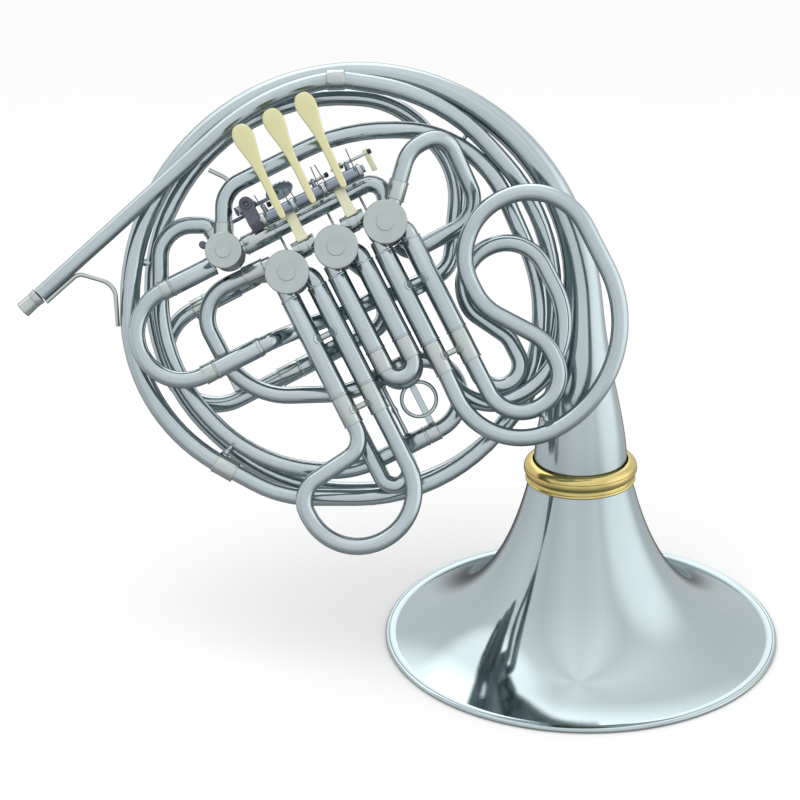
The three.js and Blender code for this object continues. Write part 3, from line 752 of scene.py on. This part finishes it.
for name, corners, stands_for in (
    ("change_to_valve_3_drawn", CHANGE_TO_3, "change_to_valve_3_tube"),
    ("valve_1_loop_drawn", VALVE_1_LOOP, "valve_1_loop_tube"),
    ("valve_3_loop_drawn", VALVE_3_LOOP, "valve_3_loop_tube"),
    ("side_upper_drawn", SIDE_UPPER, "side_slide_upper_tube"),
    ("side_lower_drawn", SIDE_LOWER, "side_slide_lower_tube"),
):
    silver(name, [tube(corners, TUBE)], stands_for)

# -------------------- slides along the row


def sleeve(start, mouth):
    """An outer slide tube with a rolled lip at its open end."""
    start, mouth = np.array(start, float), np.array(mouth, float)
    end = np.linalg.norm(mouth - start)
    return turned([
        (SLEEVE - 0.2, 0), (SLEEVE, 0.3), (SLEEVE, end - 1.5), (SLEEVE + 0.35, end - 1.2),
        (SLEEVE + 0.45, end - 0.6), (SLEEVE + 0.25, end - 0.1), (SLEEVE, end),
        (SLEEVE_BORE, end), (SLEEVE_BORE, 0),
    ], start, mouth - start, 40)


def row_slide(side, top, bottom, level, bow, mouths, engaged):
    """A bow with two inner legs, which pulls out towards one side of the row."""
    bend = (top - bottom) / 2
    far = bow + side * bend
    inside = -side * engaged
    return tube([
        (mouths[0] + inside, top, level),
        (far, top, level, bend - 0.01),
        (far, bottom, level, bend - 0.01),
        (mouths[1] + inside, bottom, level),
    ], LEG, LEG_BORE)


def slide_bands(side, top, bottom, level, mouths, lengths):
    """The ferrules of a slide, each against the mouth of its outer tube."""
    shells = []
    for y, mouth, length in zip((top, bottom), mouths, lengths):
        at, toward = (mouth, y, level), (mouth + side * 10, y, level)
        shells.append(band(at, toward, 0.4, length, SLEEVE, LEG - SNUG))
        shells.append(bead(at, toward, length + 0.2, SLEEVE + 0.45, 0.5, LEG - SNUG))
    return shells


def row_sleeve(start, mouth, y, level):
    return sleeve((start, y, level), (mouth, y, level))


main_upper = row_sleeve(CHANGE_VALVE[0] - 12, MAIN_MOUTHS[0], MAIN_TOP, MAIN_LEVEL)
main_lower = row_sleeve(-42, MAIN_MOUTHS[1], MAIN_BOTTOM, MAIN_LEVEL)
main_bow = row_slide(-1, MAIN_TOP, MAIN_BOTTOM, MAIN_LEVEL, MAIN_BOW, MAIN_MOUTHS, 32)
main_bands = slide_bands(-1, MAIN_TOP, MAIN_BOTTOM, MAIN_LEVEL, MAIN_MOUTHS, (7, 9))
silver("main_sleeve_upper_drawn", [main_upper], "main_slide_sleeve_upper")
silver("main_sleeve_lower_drawn", [main_lower], "main_slide_sleeve_lower")
silver("main_slide_drawn", [main_bow], "main_tuning_slide", body="main_slide")
pale("main_slide_ferrules", main_bands, body="main_slide")

side_upper = row_sleeve(-40, SIDE_MOUTHS[0], SIDE_TOP, SIDE_LEVEL)
side_lower = row_sleeve(12, SIDE_MOUTHS[1], SIDE_BOTTOM, SIDE_LEVEL)
side_bow = row_slide(-1, SIDE_TOP, SIDE_BOTTOM, SIDE_LEVEL, SIDE_BOW, SIDE_MOUTHS, 26)
side_strut = strip([(-76, SIDE_TOP - 5.9, SIDE_LEVEL), (-76, SIDE_BOTTOM + 5.9, SIDE_LEVEL)], 1.6, 5)
side_bands = slide_bands(-1, SIDE_TOP, SIDE_BOTTOM, SIDE_LEVEL, SIDE_MOUTHS, (10, 16))
silver("side_sleeve_upper_drawn", [side_upper], "side_slide_sleeve_upper")
silver("side_sleeve_lower_drawn", [side_lower], "side_slide_sleeve_lower")
silver("side_slide_drawn", [side_bow, side_strut], "side_tuning_slide", body="side_slide")
pale("side_slide_ferrules", side_bands, body="side_slide")

RING_AT = (44, -126, LOWER_LEVEL)
lower_sleeves = [row_sleeve(13.5, LOWER_MOUTHS[0], y, LOWER_LEVEL) for y in (LOWER_TOP, LOWER_BOTTOM)]
lower_sleeves.append(brace((24, LOWER_TOP - 7.1, LOWER_LEVEL), (24, LOWER_BOTTOM + 7.1, LOWER_LEVEL), 1.9))
pull = [
    row_slide(1, LOWER_TOP, LOWER_BOTTOM, LOWER_LEVEL, LOWER_BOW, LOWER_MOUTHS, 22),
    ring_torus(RING_AT, (0, 0, 1), 13.0, 1.5),
    strip([(44, -112.4, LOWER_LEVEL), (44, LOWER_BOTTOM + 6, LOWER_LEVEL)], 1.8, 5),
]
lower_bands = slide_bands(1, LOWER_TOP, LOWER_BOTTOM, LOWER_LEVEL, LOWER_MOUTHS, (9, 9))
silver("lower_sleeves_drawn", lower_sleeves, "lower_slide_sleeves")
silver("lower_slide_drawn", pull, "lower_tuning_slide", body="lower_slide")
pale("lower_slide_ferrules", lower_bands, body="lower_slide")

# -------------------- valve slides

# Corners of each crook: x from its left leg, y, z from its level, bend radius.
FRONT_CROOKS = (
    [(0, -139, 0, 17), (-60, -146, 0, 19), (-60, -206, 0, 40), (LEG_SPAN, -206, 0, 41)],
    [(0, -106, 0, 10.8), (LEG_SPAN, -106, 0, 10.8)],
    [
        (0, -112, 0, 60), (-3, -191, 1, 52), (139, -190, 7, 88), (139, -23, 7, 46), (46, -23, 2, 46),
        (46, -87, 0, 40), (76, -130, 0, 35), (76, -171, 0, 26.5), (LEG_SPAN, -171, 0, 26.5),
    ],
)
BACK_CROOKS = (
    [(0, -176, 0, 10.8), (LEG_SPAN, -176, 0, 10.8)],
    [(0, -109, 0, 10.8), (LEG_SPAN, -109, 0, 10.8)],
    [
        (0, -158, 0, 38), (101, -157, 3, 60), (101, -49, 3, 31), (38, -49, 0, 31),
        (38, -86, 0, 20), (54, -115, 0, 20), (54, -146, 0, 16), (LEG_SPAN, -146, 0, 16),
    ],
)
FRONT_BANDS, BACK_BANDS = (22, 15.6, 24), (16, 16, 16)
FRONT_STAYS, BACK_STAYS = (44.5, None, 44.5), (38, 38, 38)      # heights above the mouths
STAYED_BAND = 17                # ferrules longer than this carry a stay


def sleeve_pair(x, valve_x, mouth, level, stay):
    """The outer tubes of a valve slide: a stub joins the left one to the casing, an elbow the right one."""
    right, inner = x + LEG_SPAN, SLEEVE_BORE - 0.1
    stub = [(x, -9, level), (x, SLEEVE_TOP - 3, level)]
    elbow = [(valve_x + 5, -6, level), (right, -6, level, 8.2), (right, SLEEVE_TOP - 3, level)]
    shells = [tube(corners, inner, sides=32) for corners in (stub, elbow)]
    for leg in (x, right):
        at, toward = (leg, SLEEVE_TOP, level), (leg, mouth, level)
        shells.append(sleeve(at, toward))
        shells.append(bead(at, toward, 1.0, SLEEVE + 0.3, 0.6, SLEEVE - 0.1))
    if stay:
        shells += plain_stay(x, right, mouth + stay, level, 2.3, 3.9)
    return shells


def valve_slide(x, mouth, level, crook):
    right = x + LEG_SPAN
    top = mouth + ENGAGED
    corners = [(x + dx, y, level + dz, bend) for dx, y, dz, bend in crook]
    return tube([(x, top, level), *corners, (right, top, level)], LEG, LEG_BORE, 32, 4.0)


def leg_bands(x, mouth, level, length):
    """The ferrules on the two legs of a valve slide."""
    right = x + LEG_SPAN
    shells = []
    for leg in (x, right):
        at, toward = (leg, mouth, level), (leg, mouth - 10, level)
        shells.append(band(at, toward, 0.4, length, SLEEVE - SNUG, LEG - SNUG))
        shells.append(bead(at, toward, length + 0.3, SLEEVE + 0.4, 0.5, LEG - SNUG))
    if length > STAYED_BAND:
        shells += plain_stay(x, right, mouth - 13, level, 2.1, 3.6)
    return shells


for k, mouth in enumerate(MOUTHS):
    x = FIRST_LEG + k * LEG_PITCH
    for where, level, crooks, bands, stays in (
        ("front", FRONT_LEVEL, FRONT_CROOKS, FRONT_BANDS, FRONT_STAYS),
        ("back", BACK_LEVEL, BACK_CROOKS, BACK_BANDS, BACK_STAYS),
    ):
        sleeves, slide = f"valve_{k + 1}_{where}_sleeves", f"valve_{k + 1}_{where}_slide"
        silver(f"{sleeves}_drawn", sleeve_pair(x, VALVE_X[k], mouth, level, stays[k]), sleeves)
        silver(f"{slide}_drawn", [valve_slide(x, mouth, level, crooks[k])], slide, body=slide)
        pale(f"{slide}_ferrules", leg_bands(x, mouth, level, bands[k]), body=slide)

# -------------------- finger levers

PADDLE_SWING = (-0.8, -0.7, -1.6)       # degrees that each finger plate is turned off the row
PADDLE_TILT = math.radians(3)
PADDLE_STATIONS = (                      # distance from the hinge, width, thickness
    (-6.4, 2.0, 1.2), (-5.4, 4.4, 2.2), (-3, 5.6, 2.6), (8, 5.7, 2.7), (22, 6.0, 2.6),
    (32, 6.9, 2.5), (40, 8.8, 2.5), (48, 12.0, 2.6), (54, 14.6, 2.8), (58.5, 15.6, 2.9),
    (62, 15.1, 2.8), (65, 12.9, 2.6), (67, 9.4, 2.1), (68, 5.6, 1.4), (68.3, 2.0, 0.8),
)


def paddle(x, swing):
    """A spoon-shaped finger plate on a slim neck, softly crowned."""
    distances, widths, thicknesses = zip(*PADDLE_STATIONS)
    along = np.linspace(distances[0], distances[-1], 70)
    along = np.concatenate([along, [67.4, 67.8, 68.1, -6.2, -5.9]])     # closer where it rounds off
    along = np.unique(np.round(along, 3))
    width = np.interp(along, distances, widths)
    thick = np.interp(along, distances, thicknesses)
    width[2:-5] = np.convolve(width, np.ones(5) / 5, "same")[2:-5]
    lift = 3.7 + 0.00045 * (along - 10) ** 2
    turn = round_angles(36)
    c, s = np.cos(turn), np.sin(turn)
    crown = np.sign(s) * np.abs(s) ** 0.8
    edge = np.sign(c) * np.abs(c) ** 0.8
    rings = np.stack([
        edge[None] * width[:, None] / 2,
        np.broadcast_to(along[:, None], (len(along), len(turn))),
        lift[:, None] + crown[None] * thick[:, None] / 2,
    ], axis=-1)
    vertices, faces = skin(rings)
    spin = Matrix.Rotation(math.radians(swing), 3, "Z")
    lean = Matrix.Rotation(PADDLE_TILT, 3, "X")
    return vertices @ np.array(lean @ spin).T + np.array([x, HINGE_Y, HINGE_Z]), faces


def barrel(left, right):
    """The hinge tube of a lever."""
    length = right - left
    half = [(2.2, 0), (3.9, 0), (4.3, 0.35), (4.4, 0.8)]
    profile = half + [(r, length - h) for r, h in reversed(half)]
    return turned(profile, (left, HINGE_Y, HINGE_Z), (1, 0, 0), 40)


def link_rod(x, near, far, socket):
    """A link rod with a six-sided socket at each end."""
    inside = socket - 1
    return [
        rod((x, near + inside, LINK_LEVEL), (x, far - inside, LINK_LEVEL), 1.1),
        disc((x, near, LINK_LEVEL), (0, 1, 0), 2.1, 0, socket, 0.5, sides=6),
        disc((x, far, LINK_LEVEL), (0, -1, 0), 2.1, 0, socket, 0.5, sides=6),
    ]


for k, valve_x in enumerate(VALVE_X):
    left, right = POSTS[k] + 1.6, POSTS[k + 1] - 1.6
    tail_x = valve_x + LINK_SIDE[k] * BALL_OFFSET
    lever = f"lever_{k + 1}"
    plate = paddle(15.7 + 24.8 * k, PADDLE_SWING[k])
    piece(f"{lever}_paddle", [plate], BLOCK, lever, LACQUER, [lever])
    tail = tube([
        (tail_x, HINGE_Y + 2.8, HINGE_Z),
        (tail_x, TAIL_Y, HINGE_Z, 4),
        (tail_x, TAIL_Y, LINK_LEVEL + 1),
    ], LEVER_WIRE, sides=20)
    fittings = [barrel(left, right), tail, ball((tail_x, TAIL_Y, LINK_LEVEL), 2.3)]
    piece(f"{lever}_barrel", fittings, BLOCK, lever, STEEL)
    near, far = BALL_OFFSET + LINK_GAP, TAIL_Y - TAIL_GAP
    link = link_rod(tail_x, near, far, 7)
    link.append(disc((tail_x, near + 8, LINK_LEVEL), (0, 1, 0), 1.9, 0, 1.6, 0.3, sides=6))
    rod_name = f"link_rod_{k + 1}"
    piece(f"{rod_name}_fitted", link, BLOCK, f"link_{k + 1}", PALE_SILVER, [rod_name])

hinge_rod = [
    rod((-0.4, HINGE_Y, HINGE_Z), (83.2, HINGE_Y, HINGE_Z), 1.8, 24),
    disc((83.2, HINGE_Y, HINGE_Z), (1, 0, 0), 3.0, -1, 1.2, 0.5, sides=28),
]
piece("lever_hinge_rod_turned", hinge_rod, BLOCK, "horn_body", STEEL, ["lever_hinge_rod"])

rails = [bar((1.2, 36.6, 24), (81.8, 39.0, 26)), bar((1.2, 42.6, 24), (81.8, 45, 26))]
for x in POSTS:
    rails.append(bar((x - 1.1, 36.8, 24.2), (x + 1.1, 44.8, 37.2)))
    collar = [(2.1, -1.5), (4.6, -1.5), (4.9, -1.2), (4.9, 1.2), (4.6, 1.5), (2.1, 1.5)]
    rails.append(turned(collar, (x, HINGE_Y, HINGE_Z), (1, 0, 0), 36))
piece("lever_saddle_rails", rails, BLOCK, "horn_body", PALE_SILVER, ["lever_saddle"])
straps = []
for x in (17, 57):
    straps.append(bar((x, 36.6, 24), (x + 8, 39, 35.2)))
    straps.append(bar((x, 19, 33.4), (x + 8, 38, 35.2), 0.5))
    straps.append(bar((x - 0.4, 15.5, 31.5), (x + 8.4, 20, 35.4), 0.8))
piece("lever_saddle_straps", straps, BLOCK, "horn_body", CREAM)

springs = []
for x, side in ((5.2, 1), (24.0, -1), (29.2, 1), (49.0, -1), (54.2, 1), (77.6, -1)):
    springs.append(tube([
        (x, HINGE_Y, HINGE_Z + 4.7),
        (x, HINGE_Y + 3.5, HINGE_Z + 4.7, 2.5),
        (x - side, HINGE_Y + 19, HINGE_Z - 4),
    ], 0.42, sides=10))
piece("lever_springs", springs, BLOCK, "horn_body", DARK_STEEL)

# -------------------- thumb lever

change_x = CHANGE_VALVE[0] + BALL_OFFSET
thumb = [
    tube([(-12, THUMB_Y, THUMB_Z), (-1, THUMB_Y, THUMB_Z)], 3.4, 1.9, 32),
    tube([
        (-10, THUMB_Y, THUMB_Z - 2.6),
        (-10, THUMB_Y, LINK_LEVEL, 5),
        (change_x - 1.0, THUMB_Y, LINK_LEVEL),
    ], LEVER_WIRE, sides=20),
    ball((change_x, THUMB_Y, LINK_LEVEL), 2.2),
    tube([
        (-4, THUMB_Y, THUMB_Z - 2.4),
        (-3, THUMB_Y, 8, 5),
        (10, THUMB_Y + 1, -2, 8),
        (20, THUMB_Y + 3, -11),
    ], LEVER_WIRE, sides=20),
]


def thumb_plate():
    """A dished oval that leans towards the thumb."""
    turn = round_angles(56)
    return skin(np.array([
        np.stack([
            21.5 + r * np.cos(turn),
            THUMB_Y + 4 + 0.45 * r * np.sin(turn) + h,
            -12 + 0.85 * r * np.sin(turn) - 0.5 * h + 0.01 * (r * np.cos(turn)) ** 2,
        ], axis=-1)
        for r, h in ((9.6, -1.2), (10.6, -0.9), (11, -0.2), (10.6, 0.5), (9.6, 0.8))
    ]))


piece("thumb_plate", [thumb_plate()], BLOCK, "thumb_lever", SILVER)
piece("thumb_lever_fitted", thumb, BLOCK, "thumb_lever", STEEL, ["thumb_lever"])
screw_head = [(1.5, 23), (4.1, 23), (4.1, 23.7), (3.7, 24.1), (2.4, 24.2), (1.5, 23.4)]
bracket = [
    rod((-14.5, THUMB_Y, THUMB_Z), (2.5, THUMB_Y, THUMB_Z), 1.6),
    strip([(-4.5, 60, 22.4), (-4.5, 45, 22.4, 3), (-3.8, 38.5, 18.6)], 1.4, 10.4),
    disc((-4.5, 60, 0), (0, 0, 1), 5.2, 21.7, 23.1, 0.3, sides=40),
    bar((-14.2, THUMB_Y - 3, THUMB_Z - 3), (-12.4, THUMB_Y + 3, THUMB_Z + 5)),
    bar((-0.6, THUMB_Y - 3, THUMB_Z - 3), (1.2, THUMB_Y + 3, THUMB_Z + 5)),
    turned(screw_head, (-4.5, 59.5, 0), sides=32),
]
piece("thumb_hinge_rod_fitted", bracket, BLOCK, "horn_body", DARK_STEEL, ["thumb_hinge_rod"])

# Stops behind the levers: plain and threaded rods, each with a rubber tip.
STOP_Y, THREADED_Y, STOP_Z = 50.7, 51.9, 31
stops = [
    rod((41, STOP_Y, STOP_Z), (56.5, STOP_Y, STOP_Z), 1.3),
    rod((62, THREADED_Y, STOP_Z), (92, THREADED_Y, STOP_Z), 1.2),
    disc((69, THREADED_Y, STOP_Z), (1, 0, 0), 2.6, 0, 2.4, 0.3, sides=6),
]
pale("lever_stop_rods", stops)
tips = [
    disc((56.2, STOP_Y, STOP_Z), (1, 0, 0), 1.9, 0, 3.0, 0.7, sides=28),
    disc((91.8, THREADED_Y, STOP_Z), (1, 0, 0), 1.9, 0, 3.0, 0.7, sides=28),
    disc((9, 50.6, STOP_Z), (1, 0, 0), 2.0, 0, 3.4, 0.7, sides=28),
]
piece("lever_stop_tips", tips, BLOCK, "horn_body", RUBBER)

link = link_rod(change_x, CHANGE_VALVE[1] - BALL_OFFSET + LINK_GAP, THUMB_Y - LINK_GAP, 6)
piece("change_link_rod_fitted", link, BLOCK, "change_link", STEEL, ["change_link_rod"])

hook = strip([
    (-7, 75, 13),
    (-9.5, 85, 15, 9),
    (-17.5, 95, 18),
], 5.5, 3.2, 2.6, taper=lambda s: 1 - 0.3 * s * s)
pale("finger_hook_bent", [hook], "finger_hook")

# -------------------- ferrules and stays of the fixed tubes


def route_ferrule(corners, start, length):
    """A ferrule on the first straight run of a route."""
    return ferrule(corners[0][:3], corners[1][:3], start, length)


coil_bands = [
    *ferrule((-137.5, -46.3, -2), (-122, -55, -2.1), 0, 16, 8.0, 6.3),
    band((-54.5, 236.2, 16.5), (-40, 236.8, 16.3), 0, 14, 7.6, 6.2, 1.3),
    *ferrule(RING_ROUTE[-1], (-130.5, 155, 14), 4, 15),
    *route_ferrule(CHANGE_RING_ROUTE, 12, 9),
]
pale("coil_ferrules", coil_bands, placed_in=COIL)
block_bands = [
    *route_ferrule(VALVE_1_LOOP, 6, 15.5),
    *route_ferrule(CHANGE_TO_3, 2, 25),
    bead(CHANGE_TO_3[0][:3], CHANGE_TO_3[1][:3], 99.5, 7.0, 0.5),
    *route_ferrule(VALVE_3_LOOP, 3, 13.5),
]
for x, y, start in ((-46, MAIN_TOP, 1.2), (-42, MAIN_BOTTOM, 2.4)):
    at, toward = (x, y, MAIN_LEVEL), (x - 10, y, MAIN_LEVEL)
    block_bands.append(bead(at, toward, start, SLEEVE + 0.3, 0.5, SLEEVE - 0.1))
pale("block_ferrules", block_bands)

coil_stays = [
    brace((-193, 104, -14), (-180, 101, -3), 1.5),
    brace((-124, -32, 0), (-131, -41, -1), 1.9),
    brace((44, 188, 0), (50, 199, 0), 1.8),
]
silver("coil_stays", coil_stays, placed_in=COIL)
strut = bar((89.8, 39.5, 14), (93.8, 57, 15.4))
piece("valve_stay_flat", [strut], BLOCK, "horn_body", CREAM)
knob = disc((-47.6, 50, 0), (0, 0, 1), 2.8, -5, 4, 0.7, sides=32)
piece("valve_stay_screw", [knob], BLOCK, "horn_body", DARK_STEEL)
crook_stay = brace((119.8, -176.6, 29), (119.8, -184.4, 34), 2.0)
silver("valve_3_front_slide_stay", [crook_stay], body="valve_3_front_slide")

# -------------------- studio

FLOOR_REACH = 9


def stage_floor():
    far = FLOOR_REACH
    mesh = bpy.data.meshes.new("floor")
    mesh.from_pydata([(-far, -far, 0), (far, -far, 0), (far, far, 0), (-far, far, 0)], [], [(0, 1, 2, 3)])
    material, tree, shader, place = blank_material("pale_floor")
    shader.inputs["Roughness"].default_value = 0.9
    shader.inputs["Specular IOR Level"].default_value = 0.0
    grain = noise(tree, place, Scale=3.0, Detail=2.0)
    tree.links.new(two_tone(tree, grain, (0.93, 0.93, 0.93), (0.95, 0.95, 0.95)), shader.inputs["Base Color"])
    mesh.materials.append(material)
    floor = bpy.data.objects.new("floor", mesh)
    bpy.context.scene.collection.objects.link(floor)
    floor.visible_glossy = False


# The room that polished metal mirrors: greys from floor to ceiling, and a factor for each way round it.
FLOOR_TO_CEILING = (
    (0.0, 0.20), (0.2, 0.30), (0.32, 0.44), (0.44, 0.52), (0.54, 0.56), (0.69, 0.58),
    (0.80, 0.60), (0.9, 0.66), (1.0, 0.74),
)
ROUND_THE_WALLS = (
    (0.0, 0.95), (0.1, 0.8), (0.18, 0.95), (0.25, 0.92), (0.32, 1.0), (0.4, 0.82), (0.5, 0.95),
    (0.62, 0.85), (0.75, 0.95), (0.88, 0.85), (1.0, 0.95),
)
# Soft lamps: way towards each, cosines of its outer and inner edge, brightness.
ROOM_LAMPS = (
    ((0.0, 0.66, 0.75), (0.86, 0.97), 0.55),
    ((-0.45, 0.35, 0.82), (0.90, 0.97), 0.35),
    ((0.97, -0.20, 0.12), (0.70, 0.95), 0.30),
)
# A dark cloth behind and below the horn: the way to it, the cosines of its edge, what it leaves of the light.
CLOTH_WAY, CLOTH_EDGE, CLOTH_GREY = (0.0, 0.86, -0.51), (0.80, 0.97), 0.2
SHADE_INSIDE = 0.34             # brightness of the room as one piece shows it mirrored in another
FIRST_MIRROR, SECOND_MIRROR = 2.0, 3.0      # ray depths
ROOM_STRENGTH = 1.24


def grey_ramp(tree, factor, stops):
    made = node(tree, "ShaderNodeValToRGB")
    ramp = made.color_ramp
    for element, (at, value) in zip(ramp.elements, (stops[0], stops[-1])):
        element.position = at
        element.color = (value, value, value, 1)
    for at, value in stops[1:-1]:
        ramp.elements.new(at).color = (value, value, value, 1)
    tree.links.new(factor, made.inputs["Fac"])
    return made.outputs["Color"]


def combined(tree, operation, first, second):
    made = node(tree, "ShaderNodeMath", operation=operation)
    tree.links.new(first, made.inputs[0])
    tree.links.new(second, made.inputs[1])
    return made.outputs[0]


def facing(tree, direction, towards, edge, outside, inside):
    """A factor that changes smoothly as a direction comes to point towards a given one."""
    cosine = node(tree, "ShaderNodeVectorMath", operation="DOT_PRODUCT")
    cosine.inputs[1].default_value = towards
    tree.links.new(direction, cosine.inputs[0])
    return map_range(tree, cosine.outputs["Value"], edge, (outside, inside), interpolation_type="SMOOTHSTEP")


def studio_world():
    """White for the floor and for the eye; polished metal mirrors a grey room with soft lamps in it."""
    world = bpy.data.worlds.new("studio")
    bpy.context.scene.world = world
    world.use_nodes = True
    tree = world.node_tree
    tree.nodes.clear()
    way = node(tree, "ShaderNodeTexCoord").outputs["Generated"]
    parts = node(tree, "ShaderNodeSeparateXYZ")
    tree.links.new(way, parts.inputs["Vector"])
    height = map_range(tree, parts.outputs["Z"], (-1, 1), (0, 1))
    bearing = combined(tree, "ARCTAN2", parts.outputs["Y"], parts.outputs["X"])
    around = map_range(tree, bearing, (-math.pi, math.pi), (0, 1))
    walls = grey_ramp(tree, height, FLOOR_TO_CEILING), grey_ramp(tree, around, ROUND_THE_WALLS)
    lit = combined(tree, "MULTIPLY", *walls)
    for towards, edge, brightness in ROOM_LAMPS:
        lit = combined(tree, "ADD", lit, facing(tree, way, towards, edge, 0.0, brightness))
    lit = combined(tree, "MULTIPLY", lit, facing(tree, way, CLOTH_WAY, CLOTH_EDGE, 1.0, CLOTH_GREY))
    path = node(tree, "ShaderNodeLightPath")
    shade = map_range(tree, path.outputs["Ray Depth"], (FIRST_MIRROR, SECOND_MIRROR), (1.0, SHADE_INSIDE))
    room = node(tree, "ShaderNodeBackground", Strength=ROOM_STRENGTH)
    tree.links.new(combined(tree, "MULTIPLY", lit, shade), room.inputs["Color"])
    plain = node(tree, "ShaderNodeBackground", Strength=1.0)
    plain.inputs["Color"].default_value = (1, 1, 1, 1)
    pick = node(tree, "ShaderNodeMixShader")
    tree.links.new(path.outputs["Is Glossy Ray"], pick.inputs["Fac"])
    tree.links.new(plain.outputs[0], pick.inputs[1])
    tree.links.new(room.outputs[0], pick.inputs[2])
    out = node(tree, "ShaderNodeOutputWorld")
    tree.links.new(pick.outputs[0], out.inputs["Surface"])


def area_light(name, at, target, size, power):
    data = bpy.data.lights.new(name, "AREA")
    data.shape = "RECTANGLE"
    data.size, data.size_y = size
    data.energy = power
    light = bpy.data.objects.new(name, data)
    bpy.context.scene.collection.objects.link(light)
    forward = unit(np.array(target, float) - np.array(at, float))
    right = unit(np.cross(forward, [0, 0, 1] if abs(forward[2]) < 0.95 else [0, 1, 0]))
    up = np.cross(right, forward)
    matrix = np.eye(4)
    matrix[:3, 0], matrix[:3, 1], matrix[:3, 2], matrix[:3, 3] = right, up, -forward, at
    light.matrix_world = Matrix(matrix.tolist())
    light.visible_glossy = False


stage_floor()
studio_world()
area_light("soft_top", (-0.2, -0.6, 2.2), (0, 0, 0.2), (1.6, 1.2), 9)
area_light("soft_left", (-1.7, -1.5, 1.3), (0, 0, 0.25), (0.5, 1.2), 5)

# -------------------- camera

CAMERA_DISTANCE = 1320.0
FOCAL_PIXELS, PICTURE_PIXELS = 1765.0, 800
SENSOR = 36.0

camera_data = bpy.data.cameras.new("camera")
camera_data.sensor_width = SENSOR
camera_data.lens = FOCAL_PIXELS * SENSOR / PICTURE_PIXELS
camera_data.clip_start = 0.05
camera_data.clip_end = 40
camera = bpy.data.objects.new("camera", camera_data)
bpy.context.scene.collection.objects.link(camera)
camera_matrix = COIL.copy()
camera_matrix[:3, :3] *= 1000       # the coil frame's axes are a millimetre long
camera_matrix[:3, 3] = (COIL @ np.array([0, 0, CAMERA_DISTANCE, 1]))[:3]
camera.matrix_world = Matrix(camera_matrix.tolist())
bpy.context.scene.camera = camera
bpy.context.scene.view_settings.view_transform = "Standard"
